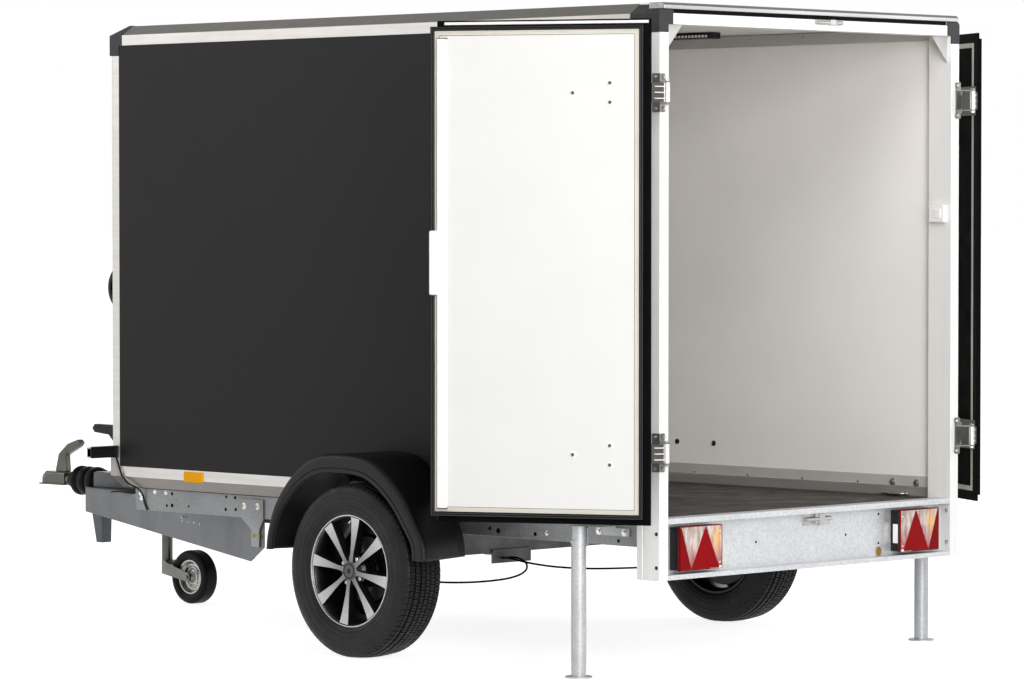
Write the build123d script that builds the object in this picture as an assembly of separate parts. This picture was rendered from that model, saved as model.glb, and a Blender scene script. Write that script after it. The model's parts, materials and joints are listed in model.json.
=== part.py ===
"""Box cargo trailer with two rear doors, on a single braked axle.

Millimetres. +X is the trailer's right side, +Y points forward to the coupling and +Z is up.
Lengths along Y are first laid out from the rear face of the rear posts, then every piece is
moved back by half of the trailer's length, so that the origin lies on the floor, midway along.
"""
from build123d import *
import math
import os

# ---------------------------------------------------------------- driving dimensions
# Box body
BODY_HALF = 754.0                    # outer face of the side walls
BODY_FRONT = 2730.0                  # front face of the body
BODY_TOP = 2176.0                    # top of the roof rails
FLOOR_TOP = 516.0
FLOOR_THICK = 16.0
FLOOR_HALF = BODY_HALF - 42.0
WALL = 20.0                          # wall panel thickness
PANEL_LOW = FLOOR_TOP + 63.0         # lower edge of the wall panels
PANEL_HIGH = BODY_TOP - 72.0         # upper edge of the wall panels
ROOF_LOW = BODY_TOP - 41.0           # underside of the roof sheet
ROOF_THICK = 22.0
ROOF_HALF = BODY_HALF - 64.0
RAIL_BAND_TOP = BODY_TOP - 35.0      # where the roof rail's upright band ends
RAIL_IN_TOP = BODY_HALF - 50.0       # inner end of the roof rail's slope
SILL_BAND_LOW = FLOOR_TOP + 27.0     # where the bottom rail's upright band ends
SILL_LOW = FLOOR_TOP - 14.0          # lower end of the bottom rail's slope
SILL_IN = BODY_HALF - 30.0           # inner end of the bottom rail's slope

# Reach of the drawbar, from the socket's tip back to the jockey wheel's tube
NOSE_Y = 4060.0
BALL_Y = NOSE_Y - 47.0
ARM_FRONT_Y = NOSE_Y - 344.0
JOCKEY_Y = ARM_FRONT_Y - 416.0

# Rear frame
POST_WIDE = 42.0
POST_DEEP = 100.0
POST_LOW = FLOOR_TOP - 196.0
POST_TOP = BODY_TOP - 96.0           # where the corner cap takes over
POST_IN = BODY_HALF - POST_WIDE
GROOVE_AT = 70.0                     # groove on the post's side face
GROOVE_WIDE = 5.0
GROOVE_DEEP = 2.5
HEADER_LOW = BODY_TOP - 70.0
HEADER_TOP = BODY_TOP - 34.0
HEADER_DEEP = 60.0
RAIN_LOW = BODY_TOP - 21.0
RAIN_HALF = BODY_HALF - 13.0
RAIN_OUT = 8.0                       # how far the rain profile stands out to the rear
RAIN_LIP = 12.0
RAIN_RECESS = 8.0
SILL_TOP = FLOOR_TOP + 3.0
SILL_FLANGE = 19.0
CROSS_FLANGE = 16.0
CROSS_WEB_AT = 50.0                  # rear face of the cross panel's web
CROSS_WEB = 3.0
GUSSET_WIDE = 83.0
GUSSET_HIGH = 92.0
GUSSET_AT = 18.0
GUSSET_THICK = 4.0
KEEPER_WIDE = 135.0
KEEPER_THICK = 4.0

# Corners
FRONT_POST = 48.0
FRONT_RADIUS = 15.0
CAP_PROUD = 2.0
CAP_REAR_LONG = 130.0
CAP_REAR_IN = BODY_HALF - 64.0
CAP_REAR_RADIUS = 14.0
CAP_FRONT_LONG = 64.0
CAP_FRONT_LOW = BODY_TOP - 108.0
CAP_FOOT_TOP = FLOOR_TOP + 92.0

# Chassis
BEAM_OUT = BODY_HALF - 44.0
BEAM_FLANGE = 50.0
BEAM_TOP = FLOOR_TOP - FLOOR_THICK
BEAM_LOW = BEAM_TOP - 80.0
BEAM_WALL = 4.0
BEAM_FRONT = BODY_FRONT - 83.0
CROSS_MEMBER_WIDE = 50.0
CROSS_MEMBER_HIGH = 50.0
CROSS_MEMBER_AT = (560.0, 1720.0, 2250.0, BEAM_FRONT - CROSS_MEMBER_WIDE)
ARM_REAR_X = BEAM_OUT - 50.0
ARM_REAR_Y = 2075.0
ARM_FRONT_X = 64.0
ARM_LOW_REAR = 260.0
ARM_LOW_FRONT = 328.0
ARM_HEEL_LONG = 128.0
ARM_HEEL_LOW = ARM_LOW_REAR + 58.0
ARM_WALL = 4.0
ARM_FLANGE = 40.0
ARM_FLANGE_START = 60.0              # where the lower flange begins, forward of the heel
BRACKET_REAR = ARM_REAR_Y - 129.0    # plates that tie the beams to the drawbar arms
BRACKET_FRONT = ARM_REAR_Y - 13.0
BRACKET_PLATE = 6.0

# Wheels and axle
AXLE_Y = 1208.0
WHEEL_X = BODY_HALF + 159.0
TYRE_RADIUS = 296.0
TYRE_WIDE = 175.0
RIM_SEAT = 178.0
RIM_LIP = 190.0
RIM_WIDE = 155.0
RIM_WALL = 6.0
SPOKES = 8
SPOKE_PHASE = 34.2
SPOKE_IN = 36.0                      # spokes' inner and outer faces from the wheel's middle
SPOKE_OUT = 58.0
SPOKE_ROOT = 11.0                    # half widths of a spoke at the hub and at the rim
SPOKE_TIP = 20.0
HUB_IN = 22.0
HUB_OUT = 62.0
HUB_RADIUS = 52.0
TUBE_Y = AXLE_Y + 150.0
TUBE_Z = 346.0
TUBE_SIDE = 80.0
TUBE_HALF = BEAM_OUT - 10.0
TUBE_PAD = 80.0                      # half the length of the pads under the beams
TRAIL_ARM = 45.0                     # width of the trailing arms' bosses
BOSS_RADIUS = 45.0
EYE_RADIUS = 32.0
SPINDLE_RADIUS = 20.0
BACKPLATE_AT = WHEEL_X - 133.0
BACKPLATE_THICK = 8.0
DRUM_AT = WHEEL_X - 121.0
DRUM_DEEP = 60.0
DRUM_FACE = 4.0
DRUM_RADIUS = 112.0
RUNNING_FIT = 0.1

# Brake pull on the axle
PULL_IN = 15.0
PULL_OUT = 205.0
PULL_HIGH = 36.0
PULL_FACE = TUBE_Y - TUBE_SIDE / 2 - 8.0
CABLE_RADIUS = 3.5
CABLE_LOW = TUBE_Z - 110.0           # height at the bottom of the cables' bows
CABLE_RISE = 52.0                    # from there up to where they leave the pull
CABLE_BOW = 208.0                    # how far forward they bow

# Fenders
FENDER_OUT = BODY_HALF + 256.0
FENDER_WALL = 4.0
FENDER_Y = AXLE_Y + 7.0
FENDER_HALF = 397.0
FENDER_HALF_BODY = 325.0
FENDER_LOW = 350.0
FENDER_TOP = 690.0
ARCH_Y = AXLE_Y + 22.0
ARCH_HALF = 351.0
ARCH_TOP = 627.0

# Tail lamps
LAMP_IN = BODY_HALF - 304.0
LAMP_OUT = BODY_HALF - 99.0
LAMP_LOW = POST_LOW + 25.0
LAMP_HIGH = LAMP_LOW + 145.0
LENS_DEEP = 14.0

# Marker lamps and grab handles at the front corners
MARKER_LOW = CAP_FOOT_TOP + 2.0
MARKER_HIGH = MARKER_LOW + 42.0
MARKER_REACH = 126.0
MARKER_Y = BODY_FRONT - 36.0
MARKER_DEEP = 22.0
GRAB_LOW = 1145.0
GRAB_HIGH = 1307.0
GRAB_OUT = 60.0
GRAB_THICK = 16.0
GRAB_WIDE = 24.0
GRAB_X = BODY_HALF - 46.0

# Doors, given as they stand when closed
DOOR_PIN_X = BODY_HALF + 16.0
DOOR_PIN_Y = -47.0
DOOR_OPEN = 241.5                    # how far the doors stand open from closed
DOOR_GAP = 5.0                       # clearance of a closed door to the frame round it
DOOR_LAP = 19.0                      # how far the outer plate laps over the frame
DOOR_PLATE = 7.0
DOOR_LEAF = 8.0                      # how deep the leaf stands in the opening
DOOR_EDGE = BODY_HALF - 26.0         # hinge-side edge of the outer plate
DOOR_HIGH = HEADER_LOW - DOOR_GAP + DOOR_LAP
DOOR_LOW = SILL_TOP + DOOR_GAP - DOOR_LAP - 1.0
DOOR_FRAME = 50.0                    # width of the edge profile's outer plate
DOOR_MEET = 3.0                      # the left leaf's free edge, past the centre plane
DOOR_STEP = 18.0                     # from the left leaf's free edge to its outer plate
SEAL_WIDE = 14.0
SEAL_PROUD = 4.0
LOCK_RAIL_IN = 22.0
LOCK_RAIL_OUT = 54.0
LOCK_RAIL_PROUD = 12.0
LOCK_RAIL_END = 44.0                 # how far the lock's rail ends short of the door
LOCK_LOW = 1237.0
LOCK_HIGH = 1444.0
HINGE_AT = (FLOOR_TOP + 217.0, BODY_TOP - 290.0)
HINGE_SLEEVE = 61.0
HINGE_RADIUS = 9.0
HINGE_PIN = 5.0
STRAP_LONG = 345.0
STRAP_HIGH = 100.0
STRAP_THICK = 4.0
BRACKET_HALF = 62.0
BRACKET_THICK = 4.0
BRACKET_REAR_LEG = 20.0
BRACKET_SIDE_LEG = 28.0
BRACKET_ARM = 5.0

# Coupling end
BALL_Z = 440.0
BALL_RADIUS = 25.4
COUPLING_LOW = 421.0
COUPLING_TOP = BALL_Z + 33.0
COUPLING_FLANGE = 4.5
SHAFT_Z = 443.0
SHAFT_RADIUS = 24.0
HEAD_PLATE = 5.0
HEAD_REAR = ARM_FRONT_Y - 276.0      # rear edge of the plate that joins the arms
HOUSING_FRONT = ARM_FRONT_Y - 30.0
HOUSING_HALF = 48.0
HOUSING_TOP = 485.0
BELLOWS_FRONT = BALL_Y - 140.0
BELLOWS_RADIUS = 57.0
FOOT_HALF = 27.0
FOOT_REAR = ARM_FRONT_Y - 53.0
FOOT_LONG = 60.0
FOOT_LOW = 206.0
FOOT_WALL = 5.0

# Jockey wheel
JOCKEY_TRAIL = 160.0
JOCKEY_RADIUS = 102.5
JOCKEY_WIDE = 64.0
JOCKEY_RIM = 66.0
JOCKEY_TUBE = 24.0
JOCKEY_INNER = 21.0
JOCKEY_TUBE_LOW = 330.0
JOCKEY_TUBE_HIGH = 700.0
JOCKEY_STEM_LOW = 160.0
JOCKEY_STEM_HIGH = 560.0
JOCKEY_AXLE = 8.0
FORK_IN = 37.0                       # inner face of the fork's cheeks
FORK_PLATE = 5.0
BRIDGE_HIGH = 56.0

# Rear stands
STAND_X = BODY_HALF + 110.0
STAND_Y = 253.0
STAND_RADIUS = 24.5
STAND_PIVOT = 440.0
STAND_TOP = 492.0
STAND_FOOT = 45.0
STAND_PLATE = 5.0
STAND_WALL = 3.0
STAND_BOLT = 6.0

# Where the layout's zero lies in the finished part: midway between rearmost and foremost point
REAR_END = DOOR_PIN_Y - HINGE_RADIUS
MID_Y = (NOSE_Y + REAR_END) / 2

SIDES = {"left": -1, "right": 1}


# ---------------------------------------------------------------- shape helpers
def block(x0, x1, y0, y1, z0, z1):
    """A box between two limits on each axis."""
    size = Box(abs(x1 - x0), abs(y1 - y0), abs(z1 - z0))
    return Pos((x0 + x1) / 2, (y0 + y1) / 2, (z0 + z1) / 2) * size


def rod(start, end, radius):
    """A cylinder from one point to another."""
    line = Line(start, end)
    return sweep(Plane(origin=start, z_dir=line % 0) * Circle(radius), path=line)


def outline_face(points, rounding=0.0):
    """A flat face from corner points, with its corners rounded where a radius is given."""
    face = make_face(Polyline(*points, close=True))
    return fillet(face.vertices(), rounding) if rounding else face


def extrude_xz(points, y0, y1, rounding=0.0):
    """A prism along Y from an outline in X and Z."""
    face = outline_face([(x, y0, z) for x, z in points], rounding)
    return extrude(face, amount=y1 - y0, dir=(0, 1, 0))


def extrude_yz(points, x0, x1, rounding=0.0):
    """A prism along X from an outline in Y and Z."""
    face = outline_face([(x0, y, z) for y, z in points], rounding)
    return extrude(face, amount=x1 - x0, dir=(1, 0, 0))


def extrude_xy(points, z0, z1, rounding=0.0):
    """A prism along Z from an outline in X and Y."""
    face = outline_face([(x, y, z0) for x, y in points], rounding)
    return extrude(face, amount=z1 - z0, dir=(0, 0, 1))


def flipped(side, shape):
    """The shape as it is for the right side, mirrored for the left."""
    return shape if side > 0 else mirror(shape, about=Plane.YZ)


def both(shape):
    """A shape of the right side and its mirror image."""
    return [shape, mirror(shape, about=Plane.YZ)]


def lathe_x(points, x0, y0, z0):
    """A solid of revolution about an axis along X, from an outline of offsets along X and radii."""
    face = make_face(Polyline(*[(x, r, 0) for x, r in points], close=True))
    return Pos(x0, y0, z0) * revolve(face, axis=Axis.X)


def corner_radius(before, corner, after):
    """The radius of a cord's bend: 0.45 of its shorter run, over the tangent of half the turn."""
    run_in, run_out = Vector(corner) - Vector(before), Vector(after) - Vector(corner)
    turn = math.radians(run_in.get_angle(run_out))
    return 0.45 * min(run_in.length, run_out.length) / math.tan(turn / 2)


def cord(points, radius):
    """A round cord along straight runs joined by arcs as large as the runs allow."""
    bends = [corner_radius(*points[i - 1:i + 2]) for i in range(1, len(points) - 1)]
    print("smallest bend of a cord, mm:", round(min(bends), 1))
    path = FilletPolyline(*points, radius=bends)
    return sweep(Plane(origin=path @ 0, z_dir=path % 0) * Circle(radius), path=path)


PIECES = {}


def keep(name, *shapes):
    """Files shapes under a piece's name, moved to the finished part's origin."""
    solids = []
    for shape in shapes:
        solids.extend((Pos(0, -MID_Y, 0) * shape).solids())
    PIECES[name] = solids[0] if len(solids) == 1 else Compound(children=solids)


# ---------------------------------------------------------------- box body
def rail_section_top(proud=0.0):
    """Roof rail: an upright band, then a slope up and in to the roof."""
    return [
        (BODY_HALF - WALL, PANEL_HIGH), (BODY_HALF + proud, PANEL_HIGH),
        (BODY_HALF + proud, RAIL_BAND_TOP), (RAIL_IN_TOP, BODY_TOP + proud),
        (ROOF_HALF, BODY_TOP + proud), (ROOF_HALF, ROOF_LOW), (BODY_HALF - WALL, ROOF_LOW),
    ]


def rail_section_low(proud=0.0):
    """Bottom rail: an upright band, then a slope down and in to the floor."""
    return [
        (BODY_HALF - WALL, PANEL_LOW), (BODY_HALF + proud, PANEL_LOW),
        (BODY_HALF + proud, SILL_BAND_LOW), (SILL_IN, SILL_LOW),
        (FLOOR_HALF, SILL_LOW), (FLOOR_HALF, FLOOR_TOP), (BODY_HALF - WALL, FLOOR_TOP),
    ]


def along_front(section):
    """A side rail's section turned for the front of the body."""
    return [(BODY_FRONT - BODY_HALF + out, z) for out, z in section]


FRONT_INNER_Y = BODY_FRONT - FRONT_POST
FRONT_POST_IN = BODY_HALF - FRONT_POST


def build_walls():
    """Floor, side walls, front wall and roof sheet."""
    floor_front = BODY_FRONT - BODY_HALF + FLOOR_HALF
    keep("floor_board", block(-FLOOR_HALF, FLOOR_HALF, HEADER_DEEP, floor_front,
                              FLOOR_TOP - FLOOR_THICK, FLOOR_TOP))
    side_panel = block(BODY_HALF - WALL, BODY_HALF, POST_DEEP, FRONT_INNER_Y,
                       PANEL_LOW, PANEL_HIGH)
    keep("side_panels", *both(side_panel))
    keep("front_panel", block(-FRONT_POST_IN, FRONT_POST_IN, BODY_FRONT - WALL, BODY_FRONT,
                              PANEL_LOW, PANEL_HIGH))
    roof_front = BODY_FRONT - BODY_HALF + ROOF_HALF
    keep("roof_panel", block(-ROOF_HALF, ROOF_HALF, HEADER_DEEP, roof_front,
                             ROOF_LOW, ROOF_LOW + ROOF_THICK))


def build_rails():
    """Aluminium rails round the top and the bottom of the body."""
    top = extrude_xz(rail_section_top(), CAP_REAR_LONG, BODY_FRONT - CAP_FRONT_LONG)
    cap_in = BODY_HALF - CAP_FRONT_LONG
    front_top = extrude_yz(along_front(rail_section_top()), -cap_in, cap_in)
    keep("roof_rails", *both(top), front_top)
    low = extrude_xz(rail_section_low(), POST_DEEP, BODY_FRONT - CAP_FRONT_LONG)
    front_low = extrude_yz(along_front(rail_section_low()), -cap_in, cap_in)
    keep("bottom_rails", *both(low), front_low)


def build_posts():
    """Rear posts with a groove on the side face, and rounded front posts."""
    post = block(POST_IN, BODY_HALF, 0, POST_DEEP, POST_LOW, POST_TOP)
    groove = block(BODY_HALF - GROOVE_DEEP, BODY_HALF + GROOVE_DEEP,
                   GROOVE_AT, GROOVE_AT + GROOVE_WIDE, POST_LOW, POST_TOP)
    keep("rear_posts", *both(post - groove))
    front = block(FRONT_POST_IN, BODY_HALF, FRONT_INNER_Y, BODY_FRONT, CAP_FOOT_TOP, CAP_FRONT_LOW)
    corner = front.edges().filter_by(Axis.Z).sort_by(lambda e: e.center().X + e.center().Y)[-1]
    keep("front_posts", *both(fillet(corner, FRONT_RADIUS)))


def build_header():
    """Rear header with a dark recess, the rain profile above it and gussets in its corners."""
    beam = extrude_yz([
        (0, HEADER_LOW), (0, HEADER_TOP), (RAIN_RECESS, HEADER_TOP), (RAIN_RECESS, RAIN_LOW),
        (HEADER_DEEP, RAIN_LOW), (HEADER_DEEP, HEADER_LOW)], -CAP_REAR_IN, CAP_REAR_IN)
    rain = extrude_yz([
        (-RAIN_OUT, RAIN_LOW), (-RAIN_OUT, RAIN_LOW + RAIN_LIP), (0, BODY_TOP),
        (HEADER_DEEP, BODY_TOP), (HEADER_DEEP, RAIN_LOW)], -RAIN_HALF, RAIN_HALF)
    keep("rear_header", beam + rain)
    gusset = extrude_xz([
        (POST_IN, HEADER_LOW), (POST_IN - GUSSET_WIDE, HEADER_LOW),
        (POST_IN, HEADER_LOW - GUSSET_HIGH)], GUSSET_AT, GUSSET_AT + GUSSET_THICK)
    keep("header_gussets", *both(gusset))


def build_keepers():
    """Plates that catch the lock's rods, on the header and on the cross panel."""
    bridge = 18.0
    middle = KEEPER_WIDE / 2
    door_top = DOOR_HIGH + DOOR_GAP + 1
    high = block(0, KEEPER_WIDE, -KEEPER_THICK, 0, door_top, HEADER_TOP)
    under = SILL_TOP - SILL_FLANGE
    low_face = CROSS_WEB_AT - KEEPER_THICK
    low = block(0, KEEPER_WIDE, low_face, CROSS_WEB_AT, under - 42, under)
    low = low + block(middle - bridge, middle + bridge, low_face - 10, low_face,
                      under - 38, under - 4)
    keep("latch_keepers", high, low)


def build_corner_caps():
    """Moulded caps over the upper corners and the front lower corners."""
    hood = block(CAP_REAR_IN, BODY_HALF + CAP_PROUD, 0, HEADER_DEEP, HEADER_LOW, RAIN_LOW)
    edge = hood.edges().filter_by(Axis.Y).sort_by(lambda e: e.center().X + e.center().Z)[-1]
    hood = fillet(edge, CAP_REAR_RADIUS)
    tail = extrude_xz(rail_section_top(CAP_PROUD), HEADER_DEEP, CAP_REAR_LONG)
    leg = block(POST_IN, BODY_HALF + CAP_PROUD, 0, POST_DEEP, POST_TOP, HEADER_LOW)
    rear = hood + tail + leg

    reach = BODY_HALF - CAP_FRONT_LONG
    side_way = [
        (reach, CAP_FRONT_LOW), (BODY_HALF + CAP_PROUD, CAP_FRONT_LOW),
        (BODY_HALF + CAP_PROUD, RAIL_BAND_TOP), (RAIL_IN_TOP, BODY_TOP + CAP_PROUD),
        (reach, BODY_TOP + CAP_PROUD)]
    back = BODY_FRONT - CAP_FRONT_LONG
    high = extrude_xz(side_way, back, BODY_FRONT + CAP_PROUD)
    high = high & extrude_yz(along_front(side_way), reach, BODY_HALF + CAP_PROUD)
    room = block(reach - 1, BODY_HALF - WALL, back - 1, BODY_FRONT - WALL,
                 CAP_FRONT_LOW - 1, ROOF_LOW)
    corner_room = block(reach - 1, BODY_HALF + CAP_PROUD + 1, back - 1, FRONT_INNER_Y,
                        CAP_FRONT_LOW - 1, PANEL_HIGH)
    front_room = block(reach - 1, FRONT_POST_IN, back - 1, BODY_FRONT + CAP_PROUD + 1,
                       CAP_FRONT_LOW - 1, PANEL_HIGH)
    front_top = high - room - corner_room - front_room

    low_way = [
        (reach, CAP_FOOT_TOP), (BODY_HALF + CAP_PROUD, CAP_FOOT_TOP),
        (BODY_HALF + CAP_PROUD, SILL_BAND_LOW), (SILL_IN, SILL_LOW), (reach, SILL_LOW)]
    low = extrude_xz(low_way, back, BODY_FRONT + CAP_PROUD)
    low = low & extrude_yz(along_front(low_way), reach, BODY_HALF + CAP_PROUD)
    low_room = block(reach - 1, BODY_HALF - WALL, back - 1, BODY_FRONT - WALL,
                     FLOOR_TOP, CAP_FOOT_TOP + 1)
    low_side = block(reach - 1, BODY_HALF + CAP_PROUD + 1, back - 1, FRONT_INNER_Y,
                     PANEL_LOW, CAP_FOOT_TOP + 1)
    low_front = block(reach - 1, FRONT_POST_IN, back - 1, BODY_FRONT + CAP_PROUD + 1,
                      PANEL_LOW, CAP_FOOT_TOP + 1)
    floor_room = block(reach - 1, FLOOR_HALF, back - 1, BODY_FRONT - BODY_HALF + FLOOR_HALF,
                       SILL_LOW - 1, FLOOR_TOP + 1)
    front_foot = low - low_room - low_side - low_front - floor_room
    keep("corner_caps", *both(rear), *both(front_top), *both(front_foot))


def build_cross_panel():
    """Galvanised channel across the rear, open to the rear, with the lamps inside it."""
    outline = [
        (0, SILL_TOP), (0, SILL_TOP - SILL_FLANGE), (CROSS_WEB_AT, SILL_TOP - SILL_FLANGE),
        (CROSS_WEB_AT, POST_LOW + CROSS_FLANGE), (0, POST_LOW + CROSS_FLANGE), (0, POST_LOW),
        (CROSS_WEB_AT + CROSS_WEB, POST_LOW),
        (CROSS_WEB_AT + CROSS_WEB, FLOOR_TOP - FLOOR_THICK),
        (HEADER_DEEP, FLOOR_TOP - FLOOR_THICK), (HEADER_DEEP, SILL_TOP)]
    keep("rear_cross_panel", extrude_yz(outline, -POST_IN, POST_IN))


def build_front_fittings():
    """Marker lamps on short arms and bow handles, at both front corners."""
    base = block(BODY_HALF, BODY_HALF + 4, MARKER_Y - 4, MARKER_Y + MARKER_DEEP - 3,
                 MARKER_LOW, MARKER_HIGH)
    arm = block(BODY_HALF + 4, BODY_HALF + MARKER_REACH, MARKER_Y, MARKER_Y + MARKER_DEEP,
                MARKER_LOW, MARKER_HIGH)
    arm = fillet(arm.edges().filter_by(Axis.Y).group_by(Axis.X)[-1], 6)
    keep("marker_lamps", *both(base + arm))
    middle = (GRAB_LOW + GRAB_HIGH) / 2
    left_x = GRAB_X - GRAB_WIDE / 2

    def bow(low, high, out):
        """A face between the front wall and an arc that stands out from it."""
        arc = ThreePointArc((left_x, BODY_FRONT, low), (left_x, BODY_FRONT + out, middle),
                            (left_x, BODY_FRONT, high))
        return make_face([arc, Line(arc @ 1, arc @ 0)])

    outer = extrude(bow(GRAB_LOW, GRAB_HIGH, GRAB_OUT), amount=GRAB_WIDE, dir=(1, 0, 0))
    inner = extrude(bow(GRAB_LOW + 2 * GRAB_THICK, GRAB_HIGH - 2 * GRAB_THICK,
                        GRAB_OUT - GRAB_THICK), amount=GRAB_WIDE, dir=(1, 0, 0))
    keep("grab_handles", *both(outer - inner))


# ---------------------------------------------------------------- chassis
def build_beams():
    """Two folded chassis beams, open to the inside, with tubes between them."""
    inner = BEAM_OUT - BEAM_FLANGE
    outline = [
        (inner, BEAM_LOW), (BEAM_OUT, BEAM_LOW), (BEAM_OUT, BEAM_TOP), (inner, BEAM_TOP),
        (inner, BEAM_TOP - BEAM_WALL), (BEAM_OUT - BEAM_WALL, BEAM_TOP - BEAM_WALL),
        (BEAM_OUT - BEAM_WALL, BEAM_LOW + BEAM_WALL), (inner, BEAM_LOW + BEAM_WALL)]
    beam = extrude_xz(outline, CROSS_WEB_AT + CROSS_WEB, BEAM_FRONT)
    keep("chassis_beams", *both(beam))
    web_in = BEAM_OUT - BEAM_WALL
    low = BEAM_TOP - BEAM_WALL - CROSS_MEMBER_HIGH
    tubes = [block(-web_in, web_in, y, y + CROSS_MEMBER_WIDE, low, BEAM_TOP - BEAM_WALL)
             for y in CROSS_MEMBER_AT]
    keep("cross_members", *tubes)


ARM_LONG = math.hypot(ARM_FRONT_X - ARM_REAR_X, ARM_FRONT_Y - ARM_REAR_Y)
ARM_LEAN = (ARM_REAR_X - ARM_FRONT_X) / (ARM_FRONT_Y - ARM_REAR_Y)
ARM_SLOPE = (ARM_LOW_FRONT - ARM_LOW_REAR) / (ARM_FRONT_Y - ARM_REAR_Y)


def arm_outside(y):
    """Distance from the centre plane to the outer face of a drawbar arm's web."""
    return ARM_FRONT_X + (ARM_FRONT_Y - y) * ARM_LEAN


def arm_inside(y):
    """Distance from the centre plane to the inner face of a drawbar arm's web."""
    return arm_outside(y) - ARM_WALL * math.hypot(1, ARM_LEAN)


def arm_low(y):
    """Height of a drawbar arm's lower edge."""
    return ARM_LOW_FRONT - (ARM_FRONT_Y - y) * ARM_SLOPE


def bellows_room():
    """The space that the overrun bellows take up between the arms' front ends."""
    return rod((0, HOUSING_FRONT, SHAFT_Z), (0, NOSE_Y, SHAFT_Z), BELLOWS_RADIUS + 2)


def build_arms():
    """Folded drawbar arms, deepest below the body's front and tapering to the coupling."""
    along = Vector(-ARM_LEAN, 1, 0).normalized()
    inward = Vector(0, 0, 1).cross(along)
    start = Vector(ARM_REAR_X, ARM_REAR_Y, 0)

    def sheet_of(outline, depth):
        """A plate of the arm from an outline of distances along it and heights."""
        points = [start + along * s + Vector(0, 0, z) for s, z in outline]
        return extrude(outline_face(points), amount=depth, dir=inward)

    web = sheet_of([
        (-ARM_HEEL_LONG, BEAM_LOW), (-ARM_HEEL_LONG, ARM_HEEL_LOW), (0, ARM_LOW_REAR),
        (ARM_LONG, ARM_LOW_FRONT), (ARM_LONG, BEAM_LOW)], ARM_WALL)
    low_at = ARM_LOW_REAR + (ARM_LOW_FRONT - ARM_LOW_REAR) * ARM_FLANGE_START / ARM_LONG
    lower = sheet_of([
        (ARM_FLANGE_START, low_at), (ARM_LONG, ARM_LOW_FRONT),
        (ARM_LONG, ARM_LOW_FRONT + ARM_WALL), (ARM_FLANGE_START, low_at + ARM_WALL)], ARM_FLANGE)
    upper = sheet_of([
        (-ARM_HEEL_LONG, BEAM_LOW), (ARM_LONG, BEAM_LOW), (ARM_LONG, BEAM_LOW - ARM_WALL),
        (-ARM_HEEL_LONG, BEAM_LOW - ARM_WALL)], ARM_FLANGE)
    half_space = block(0, 2 * ARM_REAR_X, 0, ARM_FRONT_Y, 0, BEAM_LOW)
    keep("drawbar_arms", *both(((web + lower + upper) & half_space) - bellows_room()))


def build_frame_brackets():
    """Bent plates that tie the chassis beams to the drawbar arms."""
    bend_high, bend_low, foot = BEAM_LOW, BEAM_LOW - 46, BEAM_LOW - 104

    def strip(y0, x0, y1, x1, z):
        """A level slice of the plate between two places along it."""
        return outline_face([(x0, y0, z), (x1, y1, z), (x1 + BRACKET_PLATE, y1, z),
                             (x0 + BRACKET_PLATE, y0, z)])

    upper = block(BEAM_OUT, BEAM_OUT + BRACKET_PLATE, BRACKET_REAR, BRACKET_FRONT,
                  bend_high, BEAM_TOP - 12)
    top_slice = strip(BRACKET_REAR, BEAM_OUT, BRACKET_FRONT, BEAM_OUT, bend_high)
    rear, front = BRACKET_REAR + 42, BRACKET_FRONT - 5
    low_slices = [strip(rear, arm_outside(rear), front, arm_outside(front), z)
                  for z in (bend_low, foot)]
    middle = loft([top_slice, low_slices[0]], ruled=True)
    lower = loft(low_slices, ruled=True)
    keep("frame_brackets", *both(upper + middle + lower))


# ---------------------------------------------------------------- axle and wheels
def build_axle():
    """Torsion axle: a square tube under pads on the beams, with trailing arms to the wheels."""
    tube_top = TUBE_Z + TUBE_SIDE / 2
    tube_low = TUBE_Z - TUBE_SIDE / 2
    tube = block(-TUBE_HALF, TUBE_HALF, TUBE_Y - TUBE_SIDE / 2, TUBE_Y + TUBE_SIDE / 2,
                 tube_low, tube_top)
    pad = block(BEAM_OUT - BEAM_FLANGE, TUBE_HALF, TUBE_Y - TUBE_PAD, TUBE_Y + TUBE_PAD,
                tube_top, BEAM_LOW)
    pull = block(-PULL_OUT, -PULL_IN, PULL_FACE, TUBE_Y - TUBE_SIDE / 2,
                 tube_low - PULL_HIGH, tube_low + 12)
    pull = pull + block(-PULL_OUT, -PULL_IN, PULL_FACE, TUBE_Y, tube_low - 6, tube_low)
    keep("axle_beam", tube + pad + mirror(pad, about=Plane.YZ) + pull)
    arm_end = TUBE_HALF + TRAIL_ARM
    boss = rod((TUBE_HALF, TUBE_Y, TUBE_Z), (arm_end, TUBE_Y, TUBE_Z), BOSS_RADIUS)
    eye = rod((TUBE_HALF, AXLE_Y, TYRE_RADIUS), (arm_end, AXLE_Y, TYRE_RADIUS), EYE_RADIUS)
    web = extrude_yz([
        (TUBE_Y, TUBE_Z + BOSS_RADIUS - 5), (TUBE_Y, TUBE_Z - BOSS_RADIUS + 5),
        (AXLE_Y, TYRE_RADIUS - EYE_RADIUS + 2), (AXLE_Y, TYRE_RADIUS + EYE_RADIUS - 2)],
        TUBE_HALF + 5, arm_end - 5)
    spindle = rod((arm_end - 5, AXLE_Y, TYRE_RADIUS),
                  (DRUM_AT + DRUM_DEEP - 2 * DRUM_FACE, AXLE_Y, TYRE_RADIUS), SPINDLE_RADIUS)
    plate = rod((BACKPLATE_AT, AXLE_Y, TYRE_RADIUS),
                (BACKPLATE_AT + BACKPLATE_THICK, AXLE_Y, TYRE_RADIUS), DRUM_RADIUS + 6)
    keep("axle_arms", *both(boss + eye + web + spindle + plate))


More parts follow.
